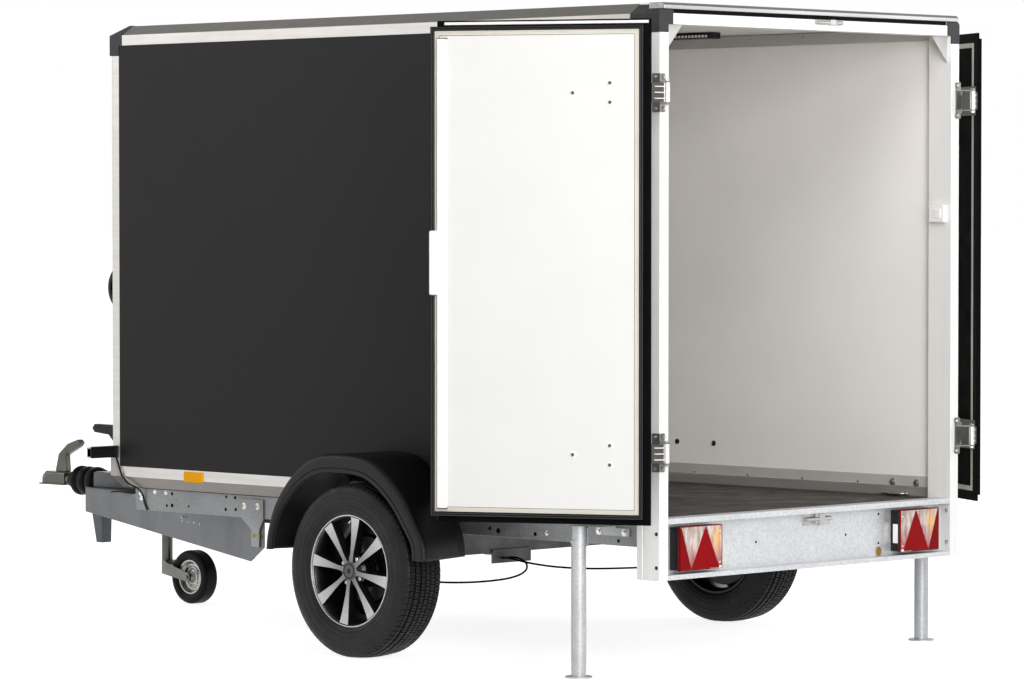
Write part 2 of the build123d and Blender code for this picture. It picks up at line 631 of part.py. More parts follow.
# Routes of the brake cables from the pull to the backplates, as shares of the distance from
# the centre plane to the backplate, of the bow forward and of the height above the bow's bottom
CABLE_LEFT = ((-0.151, 0.0, 1.0), (-0.151, 0.21, 1.0), (-0.172, 0.47, 0.71), (-0.233, 0.7, 0.4),
              (-0.328, 0.9, 0.17), (-0.441, 1.02, 0.04), (-0.564, 1.055, 0.0),
              (-0.687, 1.04, 0.02), (-0.805, 0.95, 0.1), (-0.9, 0.81, 0.25),
              (-0.954, 0.72, 0.4), (-1.0, 0.72, 0.4))
CABLE_RIGHT = ((-0.205, 0.0, 1.0), (-0.205, 0.22, 1.0), (-0.169, 0.5, 0.73), (-0.079, 0.7, 0.46),
               (0.038, 0.83, 0.27), (0.164, 0.913, 0.15), (0.292, 0.966, 0.08),
               (0.423, 0.995, 0.02), (0.554, 1.0, 0.0), (0.682, 0.976, 0.02),
               (0.805, 0.913, 0.1), (0.905, 0.8, 0.25), (0.956, 0.72, 0.38), (1.0, 0.72, 0.38))


def build_brake_cables():
    """Brake cables from the pull on the axle to the backplates, hanging in shallow bows."""
    cables = []
    for route in (CABLE_LEFT, CABLE_RIGHT):
        points = [
            (across * BACKPLATE_AT, PULL_FACE - bow * CABLE_BOW, CABLE_LOW + rise * CABLE_RISE)
            for across, bow, rise in route]
        cables.append(cord(points, CABLE_RADIUS))
    keep("brake_cables", *cables)


def build_wheels():
    """Tyre, spoked rim and brake drum of each main wheel."""
    half = TYRE_WIDE / 2
    rim_half = RIM_WIDE / 2
    tyre_outline = [
        (12.5 - rim_half, RIM_SEAT), (6.5 - rim_half, RIM_LIP + 1), (-rim_half - 1, RIM_LIP + 1),
        (-half, RIM_LIP + 34),
        (-0.985 * half, 250), (-0.90 * half, 280), (-0.74 * half, TYRE_RADIUS - 3),
        (-0.5 * half, TYRE_RADIUS), (0.5 * half, TYRE_RADIUS), (0.74 * half, TYRE_RADIUS - 3),
        (0.90 * half, 280), (0.985 * half, 250), (half, RIM_LIP + 34),
        (rim_half + 1, RIM_LIP + 1), (rim_half - 6.5, RIM_LIP + 1), (rim_half - 12.5, RIM_SEAT)]
    rim_outline = [
        (-rim_half, RIM_LIP), (-rim_half + 6, RIM_LIP), (-rim_half + 12, RIM_SEAT - 0.3),
        (rim_half - 12, RIM_SEAT - 0.3), (rim_half - 6, RIM_LIP), (rim_half, RIM_LIP),
        (rim_half, RIM_LIP - 8), (rim_half - 8, RIM_SEAT - RIM_WALL - 2),
        (-rim_half + 8, RIM_SEAT - RIM_WALL - 2), (-rim_half, RIM_LIP - 8)]
    for name, side in SIDES.items():
        tyre = lathe_x(tyre_outline, side * WHEEL_X, AXLE_Y, TYRE_RADIUS)
        keep(f"{name}_tyre", tyre)
        rim = lathe_x(rim_outline, 0, 0, 0)
        rim = rim + rod((HUB_IN, 0, 0), (HUB_OUT, 0, 0), HUB_RADIUS)
        for k in range(SPOKES):
            spoke = extrude_yz([
                (-SPOKE_ROOT, HUB_RADIUS - 8), (SPOKE_ROOT, HUB_RADIUS - 8),
                (SPOKE_TIP, RIM_SEAT - 4), (-SPOKE_TIP, RIM_SEAT - 4)], SPOKE_IN, SPOKE_OUT)
            rim = rim + Rot(SPOKE_PHASE + k * 360 / SPOKES, 0, 0) * spoke
        rim = Pos(WHEEL_X, AXLE_Y, TYRE_RADIUS) * rim
        keep(f"{name}_rim", flipped(side, rim))
        drum_end = DRUM_AT + DRUM_DEEP
        drum = rod((DRUM_AT, AXLE_Y, TYRE_RADIUS), (drum_end, AXLE_Y, TYRE_RADIUS), DRUM_RADIUS)
        hub = rod((drum_end, AXLE_Y, TYRE_RADIUS), (WHEEL_X + HUB_IN, AXLE_Y, TYRE_RADIUS),
                  HUB_RADIUS - 4)
        bore = rod((DRUM_AT, AXLE_Y, TYRE_RADIUS), (drum_end - DRUM_FACE, AXLE_Y, TYRE_RADIUS),
                   SPINDLE_RADIUS + RUNNING_FIT)
        keep(f"{name}_brake_drum", flipped(side, drum + hub - bore))


# Fractions of the fender's half length and height, from the foot to the crown
FENDER_REAR = ((1.0, 0.0), (0.977, 0.19), (0.869, 0.388), (0.713, 0.632), (0.519, 0.835),
               (0.312, 0.962), (0.09, 1.0))
FENDER_FRONT = ((1.0, 0.0), (0.97, 0.21), (0.869, 0.485), (0.69, 0.735), (0.486, 0.906),
                (0.297, 0.982), (0.09, 1.0))


def arch_points(x, centre, half, low, top):
    """The fender's outline in an upright plane, from the rear foot over the top to the front."""
    rear = [(x, centre - half * a, low + (top - low) * b) for a, b in FENDER_REAR]
    front = [(x, centre + half * a, low + (top - low) * b) for a, b in reversed(FENDER_FRONT)]
    return rear + front


def arch_loft(x0, half0, x1, half1, low, top):
    """A solid between the fender's outline at the body and at its outer face."""
    inner = outline_face(arch_points(x0, FENDER_Y, half0, low, top))
    outer = outline_face(arch_points(x1, FENDER_Y, half1, low, top))
    return loft([inner, outer], ruled=True)


def build_fenders():
    """Moulded mudguards: a hollow arch with a skirt round the wheel on its outer face."""
    skin = arch_loft(BODY_HALF, FENDER_HALF_BODY, FENDER_OUT, FENDER_HALF, FENDER_LOW, FENDER_TOP)
    room = arch_loft(BODY_HALF - 1, FENDER_HALF_BODY - FENDER_WALL, FENDER_OUT - FENDER_WALL,
                     FENDER_HALF - FENDER_WALL, FENDER_LOW - 1, FENDER_TOP - FENDER_WALL)
    arch = outline_face(
        arch_points(FENDER_OUT - 2 * FENDER_WALL, ARCH_Y, ARCH_HALF, FENDER_LOW - 1, ARCH_TOP))
    opening = extrude(arch, amount=4 * FENDER_WALL, dir=(1, 0, 0))
    keep("fenders", *both(skin - room - opening))


def build_tail_lamps():
    """Tail lamps: a lens on a deep housing, screwed to the cross panel's web."""
    lens = block(LAMP_IN, LAMP_OUT, 0, LENS_DEEP, LAMP_LOW, LAMP_HIGH)
    base = block(LAMP_IN + 3, LAMP_OUT - 2, LENS_DEEP, CROSS_WEB_AT, LAMP_LOW + 3, LAMP_HIGH - 3)
    keep("tail_lamps", *both(lens + base))


# ---------------------------------------------------------------- doors
def swing(side, shape):
    """Turns a piece of a closed right-hand door to where the door stands open."""
    hinge = Axis((DOOR_PIN_X, DOOR_PIN_Y, 0), (0, 0, 1))
    return flipped(side, shape.rotate(hinge, DOOR_OPEN))


DOOR_INNER_Y = -DOOR_GAP             # inner face of the outer plate
DOOR_OUTER_Y = DOOR_INNER_Y - DOOR_PLATE


def door_layer(outline, y0, y1):
    """A layer of a door from its limits in X and Z."""
    x0, x1, z0, z1 = outline
    return block(x0, x1, y0, y1, z0, z1)


def door_outlines(side):
    """Limits of the outer plate and of the leaf inside the opening, for one door."""
    leaf_free = -DOOR_MEET if side < 0 else DOOR_MEET + DOOR_GAP + 1
    plate_free = DOOR_STEP - DOOR_MEET
    plate_free = plate_free if side < 0 else DOOR_GAP + 2 - plate_free
    plate = (plate_free, DOOR_EDGE, DOOR_LOW, DOOR_HIGH)
    leaf = (leaf_free, POST_IN - DOOR_GAP, SILL_TOP + DOOR_GAP, HEADER_LOW - DOOR_GAP)
    return plate, leaf


def build_doors():
    """Two leaves: an edge profile that laps over the body's frame, a board and a seal."""
    for name, side in SIDES.items():
        plate, leaf = door_outlines(side)
        board = (plate[0] + DOOR_FRAME, plate[1] - DOOR_FRAME,
                 plate[2] + DOOR_FRAME, plate[3] - DOOR_FRAME)
        core = (max(plate[0], leaf[0]), leaf[1], leaf[2], leaf[3])
        profile = (door_layer(plate, DOOR_OUTER_Y, DOOR_INNER_Y)
                   + door_layer(core, DOOR_INNER_Y, 0) + door_layer(leaf, 0, DOOR_LEAF))
        profile = profile - door_layer(board, DOOR_OUTER_Y - 1, DOOR_LEAF + 1)
        keep(f"{name}_door_frame", swing(side, profile))
        keep(f"{name}_door_panel", swing(side, door_layer(board, DOOR_OUTER_Y + 1, DOOR_LEAF - 1)))
        inside = (leaf[0] + SEAL_WIDE, leaf[1] - SEAL_WIDE, leaf[2] + SEAL_WIDE,
                  leaf[3] - SEAL_WIDE)
        seal_face = DOOR_LEAF + SEAL_PROUD
        seal = door_layer(leaf, DOOR_LEAF, seal_face) - door_layer(inside, 0, seal_face + 1)
        keep(f"{name}_door_seal", swing(side, seal))


def build_door_fittings():
    """The lock's rail and case on the left door, and the handle on the right one."""
    face = DOOR_LEAF + LOCK_RAIL_PROUD
    rail = extrude_xy([
        (LOCK_RAIL_IN, DOOR_LEAF), (LOCK_RAIL_IN, face),
        (LOCK_RAIL_OUT - LOCK_RAIL_PROUD, face), (LOCK_RAIL_OUT, DOOR_LEAF)],
        DOOR_LOW + LOCK_RAIL_END, DOOR_HIGH - LOCK_RAIL_END - SEAL_WIDE)
    case = block(-DOOR_MEET - 1, LOCK_RAIL_IN, DOOR_LEAF + SEAL_PROUD, face + 2,
                 LOCK_LOW, LOCK_HIGH)
    case = fillet(case.edges().filter_by(Axis.Y).group_by(Axis.X)[0], 10)
    keep("left_lock_cover", swing(-1, rail + case))
    handle = block(70, 190, DOOR_OUTER_Y - 12, DOOR_OUTER_Y, LOCK_LOW + 50, LOCK_HIGH - 40)
    handle = fillet(handle.edges().filter_by(Axis.Y), 14)
    keep("right_door_handle", swing(1, handle))


def build_hinges():
    """Strap hinges on the doors, and brackets with the pins on the rear posts' corners."""
    straps = []
    brackets = []
    half = HINGE_SLEEVE / 2
    strap_face = DOOR_OUTER_Y - STRAP_THICK
    for z in HINGE_AT:
        sleeve = rod((DOOR_PIN_X, DOOR_PIN_Y, z - half), (DOOR_PIN_X, DOOR_PIN_Y, z + half),
                     HINGE_RADIUS)
        neck = extrude_xy([
            (DOOR_EDGE - 10, DOOR_OUTER_Y), (DOOR_EDGE - 10, strap_face),
            (DOOR_EDGE - 1, strap_face), (DOOR_PIN_X - 7, DOOR_PIN_Y - 4),
            (DOOR_PIN_X, DOOR_PIN_Y), (DOOR_EDGE + 2, DOOR_OUTER_Y)], z - half, z + half)
        plate = block(DOOR_PIN_X - STRAP_LONG, DOOR_EDGE - 10, strap_face, DOOR_OUTER_Y,
                      z - STRAP_HIGH / 2, z + STRAP_HIGH / 2)
        bore = rod((DOOR_PIN_X, DOOR_PIN_Y, z - HINGE_SLEEVE),
                   (DOOR_PIN_X, DOOR_PIN_Y, z + HINGE_SLEEVE), HINGE_PIN + RUNNING_FIT)
        straps.append(sleeve + neck + plate - bore)
        low, high = z - BRACKET_HALF, z + BRACKET_HALF
        piece = block(BODY_HALF - BRACKET_REAR_LEG, BODY_HALF, -BRACKET_THICK, 0, low, high)
        piece = piece + block(BODY_HALF, BODY_HALF + BRACKET_THICK, -BRACKET_THICK,
                              BRACKET_SIDE_LEG, low, high)
        for near in (z + half + 1, z - half - 1 - BRACKET_ARM):
            piece = piece + extrude_xy([
                (BODY_HALF - BRACKET_REAR_LEG + 2, 0), (BODY_HALF + BRACKET_THICK, 0),
                (DOOR_PIN_X + HINGE_RADIUS, DOOR_PIN_Y), (DOOR_PIN_X + 4, DOOR_PIN_Y - 8),
                (DOOR_PIN_X - 5, DOOR_PIN_Y - 8), (DOOR_PIN_X - HINGE_RADIUS, DOOR_PIN_Y)],
                near, near + BRACKET_ARM)
        pin_end = half + BRACKET_ARM + 5
        pin = rod((DOOR_PIN_X, DOOR_PIN_Y, z - pin_end), (DOOR_PIN_X, DOOR_PIN_Y, z + pin_end),
                  HINGE_PIN)
        brackets.extend(both(piece + pin))
    keep("hinge_brackets", *brackets)
    for name, side in SIDES.items():
        keep(f"{name}_hinge_straps", *[swing(side, strap) for strap in straps])


# ---------------------------------------------------------------- coupling end
def build_drawbar_head():
    """The plate that joins the arms, and the tapered foot below it."""
    rear_x, front_x = arm_outside(HEAD_REAR), arm_outside(ARM_FRONT_Y)
    plate = extrude_xy([(-rear_x, HEAD_REAR), (rear_x, HEAD_REAR), (front_x, ARM_FRONT_Y),
                        (-front_x, ARM_FRONT_Y)], BEAM_LOW, BEAM_LOW + HEAD_PLATE)
    keep("drawbar_head", plate - bellows_room())

    def taper(wall, low):
        """The foot's outer shape, drawn in by a wall's thickness on three sides."""
        front_on = extrude_xz([
            (-FOOT_HALF + wall, ARM_LOW_FRONT), (FOOT_HALF - wall, ARM_LOW_FRONT),
            (FOOT_HALF - 4 - wall, low), (-FOOT_HALF + 4 + wall, low)],
            FOOT_REAR + wall, FOOT_REAR + FOOT_LONG)
        top_y, low_y = FOOT_REAR + FOOT_LONG, FOOT_REAR + 0.6 * FOOT_LONG
        side_on = extrude_yz([
            (FOOT_REAR + wall, low), (FOOT_REAR + wall, arm_low(FOOT_REAR + wall)),
            (top_y, arm_low(top_y)), (low_y, low)], -FOOT_HALF, FOOT_HALF)
        return front_on & side_on

    keep("drawbar_foot", taper(0, FOOT_LOW) - taper(FOOT_WALL, FOOT_LOW - 1))


def build_overrun():
    """Overrun housing and the bellows in front of it."""
    housing = block(-HOUSING_HALF, HOUSING_HALF, HEAD_REAR, HOUSING_FRONT,
                    BEAM_LOW + HEAD_PLATE, HOUSING_TOP)
    housing = fillet(housing.faces().sort_by(Axis.Z)[-1].edges(), 8)
    keep("overrun_housing", housing)
    ring = BELLOWS_RADIUS + 1
    outline = [(HOUSING_FRONT, 0), (HOUSING_FRONT, 50)]
    for middle in (HOUSING_FRONT + 32, HOUSING_FRONT + 84):
        outline += [(middle - 16, BELLOWS_RADIUS - 4), (middle - 8, BELLOWS_RADIUS),
                    (middle + 8, BELLOWS_RADIUS), (middle + 16, BELLOWS_RADIUS - 4),
                    (middle + 24, BELLOWS_RADIUS - 12)]
    outline += [(BELLOWS_FRONT - 70, ring), (BELLOWS_FRONT - 52, ring), (BELLOWS_FRONT - 48, 40),
                (BELLOWS_FRONT - 24, 35), (BELLOWS_FRONT, 28), (BELLOWS_FRONT, 0)]
    face = outline_face([(0, y, r) for y, r in outline])
    keep("overrun_bellows", Pos(0, 0, SHAFT_Z) * revolve(face, axis=Axis.Y))


def build_coupling():
    """Coupling head with its ball socket, and the lever on top of it."""
    dome_radius = COUPLING_TOP - BALL_Z - 2
    rear = BALL_Y - 120
    collar = rod((0, BELLOWS_FRONT, SHAFT_Z), (0, rear + 5, SHAFT_Z), SHAFT_RADIUS)
    dome = rod((0, BALL_Y, COUPLING_LOW), (0, BALL_Y, BALL_Z + 2), dome_radius)
    upper_half = block(-dome_radius, dome_radius, BALL_Y - dome_radius, NOSE_Y, BALL_Z,
                       COUPLING_TOP)
    dome = dome + ((Pos(0, BALL_Y, BALL_Z + 2) * Sphere(dome_radius)) & upper_half)
    spine = block(-27, 27, rear, BALL_Y, COUPLING_LOW, COUPLING_TOP)
    spine = fillet(spine.edges().filter_by(Axis.Y).group_by(Axis.Z)[-1], 12)
    skirt_top = COUPLING_LOW + COUPLING_FLANGE
    skirt_tip = NOSE_Y - 40
    skirt = block(-34, 34, rear + 8, skirt_tip, COUPLING_LOW, skirt_top)
    skirt = skirt + rod((0, skirt_tip, COUPLING_LOW), (0, skirt_tip, skirt_top), 40)
    mouth = rod((0, BALL_Y, COUPLING_LOW - 1), (0, BALL_Y, BALL_Z), BALL_RADIUS)
    socket = Pos(0, BALL_Y, BALL_Z) * Sphere(BALL_RADIUS)
    keep("coupling_head", collar + dome + spine + skirt - mouth - socket)
    lever = extrude_yz([
        (BALL_Y - 48, COUPLING_TOP), (BALL_Y - 69, COUPLING_TOP + 70),
        (BALL_Y - 123, COUPLING_TOP + 111), (BALL_Y - 188, COUPLING_TOP + 131),
        (BALL_Y - 205, COUPLING_TOP + 118), (BALL_Y - 189, COUPLING_TOP + 102),
        (BALL_Y - 112, COUPLING_TOP + 66), (BALL_Y - 118, COUPLING_TOP)], -13, 13, 6)
    lever = lever & block(-13, 13, 0, NOSE_Y, COUPLING_TOP, BODY_TOP)
    keep("coupling_lever", lever)


def build_handbrake():
    """Handbrake lever on the overrun housing, its grip pointing forward."""
    pivot = HOUSING_FRONT - 170
    brake = extrude_yz([
        (pivot - 15, HOUSING_TOP - 4), (pivot + 17, HOUSING_TOP - 4), (pivot + 50, 570),
        (pivot + 120, 630), (pivot + 205, 637), (pivot + 219, 653), (pivot + 204, 669),
        (pivot + 115, 668), (pivot + 62, 640), (pivot + 10, 570)], -13, 13, 5)
    keep("handbrake_lever", brake & block(-13, 13, 0, NOSE_Y, HOUSING_TOP, BODY_TOP))


# ---------------------------------------------------------------- jockey wheel
def build_jockey_mount():
    """The bridge between the arms, and the jockey wheel's outer tube clamped to it."""
    back, front = JOCKEY_Y + 26, JOCKEY_Y + 60
    bridge_top = BEAM_LOW - ARM_WALL
    back_x, front_x = arm_inside(back), arm_inside(front)
    keep("jockey_bridge", extrude_xy([(-back_x, back), (back_x, back), (front_x, front),
                                      (-front_x, front)], bridge_top - BRIDGE_HIGH, bridge_top))
    low, high = JOCKEY_TUBE_LOW, JOCKEY_TUBE_HIGH
    cap = 12.0
    tube = rod((0, JOCKEY_Y, low), (0, JOCKEY_Y, high), JOCKEY_TUBE)
    tube = tube - rod((0, JOCKEY_Y, low - 1), (0, JOCKEY_Y, high - cap),
                      JOCKEY_INNER + RUNNING_FIT)
    clamp = block(-34, 34, JOCKEY_Y - 6, back, bridge_top - 48, bridge_top - 8)
    clamp = clamp - rod((0, JOCKEY_Y, low), (0, JOCKEY_Y, bridge_top), JOCKEY_TUBE - 1)
    crank = block(-8, 8, JOCKEY_Y - 90, JOCKEY_Y + 8, high, high + cap)
    grip = rod((0, JOCKEY_Y - 82, high + cap), (0, JOCKEY_Y - 82, high + 90), 11)
    keep("jockey_tube", tube + clamp + crank + grip)
    keep("jockey_stem", rod((0, JOCKEY_Y, JOCKEY_STEM_LOW), (0, JOCKEY_Y, JOCKEY_STEM_HIGH),
                            JOCKEY_INNER))


def build_jockey_wheel():
    """The swivelling fork with its two trailing cheeks, and the wheel between them."""
    axle_y = JOCKEY_Y - JOCKEY_TRAIL
    top = JOCKEY_STEM_LOW - 0.3
    low = JOCKEY_RADIUS + 6
    out = FORK_IN + FORK_PLATE
    fork = rod((0, JOCKEY_Y, low + 8), (0, JOCKEY_Y, top), JOCKEY_INNER)
    fork = fork + block(-out, out, JOCKEY_Y - 36, JOCKEY_Y - 16, low, top)
    for inner in (-out, FORK_IN):
        cheek = extrude_yz([
            (JOCKEY_Y - 16, low), (JOCKEY_Y - 16, top), (JOCKEY_Y - 36, top),
            (JOCKEY_Y - 46, top - 8), (axle_y, JOCKEY_RADIUS + 18), (axle_y, JOCKEY_RADIUS - 16)],
            inner, inner + FORK_PLATE)
        fork = fork + cheek + rod((inner, axle_y, JOCKEY_RADIUS + 1),
                                  (inner + FORK_PLATE, axle_y, JOCKEY_RADIUS + 1), 17)
    fork = fork + rod((-out - 5, axle_y, JOCKEY_RADIUS), (out + 5, axle_y, JOCKEY_RADIUS),
                      JOCKEY_AXLE)
    keep("jockey_fork", fork)
    wide = JOCKEY_WIDE / 2
    tyre = lathe_x([
        (-wide + 6, JOCKEY_RIM + 0.3), (-wide, 78), (-wide, 90), (-wide + 4, JOCKEY_RADIUS - 3),
        (-wide + 11, JOCKEY_RADIUS), (wide - 11, JOCKEY_RADIUS), (wide - 4, JOCKEY_RADIUS - 3),
        (wide, 90), (wide, 78), (wide - 6, JOCKEY_RIM + 0.3)], 0, axle_y, JOCKEY_RADIUS)
    keep("jockey_tyre", tyre)
    bore = JOCKEY_AXLE + RUNNING_FIT
    rim = lathe_x([
        (-24, JOCKEY_RIM), (-24, 58), (-10, 50), (-10, 26), (-30, 20), (-30, bore),
        (30, bore), (30, 20), (10, 26), (10, 50), (24, 58), (24, JOCKEY_RIM)],
        0, axle_y, JOCKEY_RADIUS)
    keep("jockey_rim", rim)


# ---------------------------------------------------------------- rear stands
def build_stands():
    """Prop stands: a pipe with a round foot, hung from a bracket on the chassis beam."""
    foot = rod((STAND_X, STAND_Y, 0), (STAND_X, STAND_Y, STAND_PLATE), STAND_FOOT)
    pipe = rod((STAND_X, STAND_Y, STAND_PLATE), (STAND_X, STAND_Y, STAND_TOP), STAND_RADIUS)
    bore = rod((STAND_X - 60, STAND_Y, STAND_PIVOT), (STAND_X + 60, STAND_Y, STAND_PIVOT),
               STAND_BOLT + RUNNING_FIT)
    hollow = rod((STAND_X, STAND_Y, STAND_PLATE), (STAND_X, STAND_Y, STAND_TOP + 1),
                 STAND_RADIUS - STAND_WALL)
    for name, side in SIDES.items():
        keep(f"{name}_stand", flipped(side, foot + (pipe - hollow) - bore))
    plate_out = BEAM_OUT + 6
    near = STAND_X - STAND_RADIUS - 1
    bar_low = STAND_TOP - 8
    plate = block(BEAM_OUT, plate_out, STAND_Y - 84, STAND_Y + 68, 452, 479)
    tab = block(BEAM_OUT, plate_out, STAND_Y - 22, STAND_Y + 22, 479, STAND_TOP)
    bar = block(plate_out, near, STAND_Y - 22, STAND_Y + 22, bar_low, STAND_TOP)
    cheek = block(near - 6, near, STAND_Y - 14, STAND_Y + 14, STAND_PIVOT - 15, bar_low)
    bolt = rod((near - 6, STAND_Y, STAND_PIVOT),
               (STAND_X + STAND_RADIUS + 8, STAND_Y, STAND_PIVOT), STAND_BOLT)
    keep("stand_brackets", *both(plate + tab + bar + cheek + bolt))


# ---------------------------------------------------------------- all pieces
def build_all():
    """Builds every piece in turn."""
    build_walls()
    build_rails()
    build_posts()
    build_header()
    build_keepers()
    build_corner_caps()
    build_cross_panel()
    build_front_fittings()
    build_beams()
    build_arms()
    build_frame_brackets()
    build_axle()
    build_brake_cables()
    build_wheels()
    build_fenders()
    build_tail_lamps()
    build_doors()
    build_door_fittings()
    build_hinges()
    build_drawbar_head()
    build_overrun()
    build_coupling()
    build_handbrake()
    build_jockey_mount()
    build_jockey_wheel()
    build_stands()


build_all()
os.makedirs("parts", exist_ok=True)
for piece_name, piece in PIECES.items():
    export_step(piece, f"parts/{piece_name}.step")
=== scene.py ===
import json
import math
import bmesh
import bpy
from mathutils import Matrix, Vector

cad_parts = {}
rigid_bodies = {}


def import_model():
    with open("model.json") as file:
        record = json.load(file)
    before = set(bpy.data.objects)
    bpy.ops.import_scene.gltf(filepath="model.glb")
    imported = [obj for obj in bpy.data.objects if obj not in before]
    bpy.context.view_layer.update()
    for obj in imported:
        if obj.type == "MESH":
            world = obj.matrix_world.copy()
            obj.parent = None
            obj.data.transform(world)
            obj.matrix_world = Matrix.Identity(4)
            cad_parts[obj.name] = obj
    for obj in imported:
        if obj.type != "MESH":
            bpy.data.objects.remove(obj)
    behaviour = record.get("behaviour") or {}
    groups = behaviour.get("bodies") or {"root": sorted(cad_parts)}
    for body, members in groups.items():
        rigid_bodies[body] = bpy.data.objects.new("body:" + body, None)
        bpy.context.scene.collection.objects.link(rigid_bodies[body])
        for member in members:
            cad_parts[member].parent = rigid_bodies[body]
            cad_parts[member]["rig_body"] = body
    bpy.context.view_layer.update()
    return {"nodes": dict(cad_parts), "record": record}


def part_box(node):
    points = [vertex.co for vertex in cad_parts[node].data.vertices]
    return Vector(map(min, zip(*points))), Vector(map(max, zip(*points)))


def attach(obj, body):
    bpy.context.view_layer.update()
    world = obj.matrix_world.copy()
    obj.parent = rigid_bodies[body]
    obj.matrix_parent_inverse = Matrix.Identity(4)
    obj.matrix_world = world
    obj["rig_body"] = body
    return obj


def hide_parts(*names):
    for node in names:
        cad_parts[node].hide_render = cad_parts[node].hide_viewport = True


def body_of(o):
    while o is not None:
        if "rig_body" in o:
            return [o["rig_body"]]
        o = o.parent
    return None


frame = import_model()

nodes = frame["nodes"]
slots = {name: node.data.materials[0].name for name, node in nodes.items()}
joints = {joint["name"]: joint for joint in frame["record"]["behaviour"]["joints"]}
MM = 0.001


def low(node):
    """Lowest corner of a node's box, in millimetres."""
    return Vector(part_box(node)[0]) / MM


def high(node):
    """Highest corner of a node's box, in millimetres."""
    return Vector(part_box(node)[1]) / MM


# Lengths are in millimetres: X from the centre plane, Y from the rear posts, Z from the ground.
REAR = low("rear_posts").y
HALF = high("side_panels").x
FRONT = high("front_panel").y - REAR
WALL = HALF - 20                # inner face of a side wall
FRONT_WALL = FRONT - 20         # inner face of the front wall
SLOPE_LOW, SLOPE_HIGH = 541.5, 2142.5   # where the bottom and the roof rails turn
PIN = Vector(joints["right_door_hinge"]["pos_m"]) / MM
OPEN = math.radians(joints["right_door_hinge"]["range_deg"][1])
WHEEL = Vector(joints["right_wheel_spin"]["pos_m"]) / MM

OUT, AHEAD, UP = (1, 0, 0), (0, 1, 0), (0, 0, 1)
IN, BACK, DOWN = (-1, 0, 0), (0, -1, 0), (0, 0, -1)

CAMERA_PLACE = (-11.028, -11.587, 1.526)
CAMERA_TURN = (90 - 1.778, 0, -45.06)
CAMERA_LENS = 154.27
WHITE = (1, 1, 1, 1)
WORLD_LIGHT = 0.36
SKY_WHITE_TO, SKY_DARK_FROM = 0.2, 0.85
SKY_TOP = 0.3
FLOOR_LIFT = 0.86
LAMPS = (("key", (-4.5, -6.5, 7.5), (0, -0.5, 1.2), 5, 360),
         ("rear", (-4.2, -9.0, 2.6), (0.3, -1, 1.2), 3.5, 470),
         ("fill", (7, -6, 4), (0, -1, 1), 5, 130),
         ("front_left", (-6, 8, 5), (0, 0, 1), 5, 150),
         ("front_right", (6, 8, 5), (0, 0, 1), 5, 110))


# ---------------------------------------------------------------- camera, light and floor
def build_camera():
    """A long lens at the photograph's place, turned to the trailer's rear left corner."""
    data = bpy.data.cameras.new("camera")
    data.lens = CAMERA_LENS
    data.sensor_width = 36.0
    data.clip_end = 200.0
    camera = bpy.data.objects.new("camera", data)
    camera.location = CAMERA_PLACE
    camera.rotation_euler = [math.radians(angle) for angle in CAMERA_TURN]
    bpy.context.collection.objects.link(camera)
    bpy.context.scene.camera = camera


def add_area(name, place, target, size, watts):
    """A soft square lamp that faces a point."""
    data = bpy.data.lights.new(name, "AREA")
    data.size = size
    data.energy = watts
    lamp = bpy.data.objects.new(name, data)
    lamp.location = place
    lamp.rotation_euler = (Vector(target) - Vector(place)).to_track_quat("-Z", "Y").to_euler()
    bpy.context.collection.objects.link(lamp)


def add_node(tree, kind, inputs=(), **settings):
    """Adds a node, sets it up and feeds its inputs with values or other nodes' outputs."""
    made = tree.nodes.new("ShaderNode" + kind)
    for key, value in settings.items():
        setattr(made, key, value)
    for key, value in dict(inputs).items():
        if isinstance(value, bpy.types.NodeSocket):
            tree.links.new(value, made.inputs[key])
        else:
            made.inputs[key].default_value = value
    return made


def seen_directly(tree):
    """1 for rays of the camera, of mirrors and of glass, and 0 for rays that light the part."""
    path = add_node(tree, "LightPath").outputs
    total = path["Is Camera Ray"]
    for name in ("Is Glossy Ray", "Is Transmission Ray"):
        total = add_node(tree, "Math", {0: total, 1: path[name]}, operation="MAXIMUM").outputs[0]
    return total


def build_world():
    """White surroundings, darker overhead, that light the part softly."""
    world = bpy.data.worlds.new("studio")
    bpy.context.scene.world = world
    world.use_nodes = True
    tree = world.node_tree
    lit = tree.nodes["Background"]
    lit.inputs["Color"].default_value = WHITE
    lit.inputs["Strength"].default_value = WORLD_LIGHT
    ray = add_node(tree, "TexCoord").outputs["Generated"]
    height = add_node(tree, "SeparateXYZ", {0: ray}).outputs["Z"]
    fade = add_node(tree, "MapRange", {"Value": height, "From Min": SKY_WHITE_TO, "To Min": 1.0,
                                       "From Max": SKY_DARK_FROM, "To Max": SKY_TOP}).outputs[0]
    seen = add_node(tree, "Background", {"Color": WHITE, "Strength": fade})
    mix = add_node(tree, "MixShader", {"Fac": seen_directly(tree), 1: lit.outputs[0],
                                       2: seen.outputs[0]})
    tree.links.new(mix.outputs[0], tree.nodes["World Output"].inputs["Surface"])


def build_floor():
    """A pale floor: lit grey, and lifted to white where it is seen, so that the shadow stays."""
    bpy.ops.mesh.primitive_plane_add(size=400)
    floor = bpy.context.object
    floor.name = "floor"
    mat = bpy.data.materials.new("floor_white")
    mat.use_nodes = True
    tree = mat.node_tree
    shader = tree.nodes["Principled BSDF"]
    for socket, value in (("Base Color", (0.6, 0.6, 0.6, 1)), ("Roughness", 0.9),
                          ("Specular IOR Level", 0.0)):
        shader.inputs[socket].default_value = value
    strength = add_node(tree, "Math", {0: seen_directly(tree), 1: FLOOR_LIFT},
                        operation="MULTIPLY").outputs[0]
    lift = add_node(tree, "Emission", {"Color": WHITE, "Strength": strength})
    both = add_node(tree, "AddShader", {0: shader.outputs[0], 1: lift.outputs[0]})
    tree.links.new(both.outputs[0], tree.nodes["Material Output"].inputs["Surface"])
    floor.data.materials.append(mat)


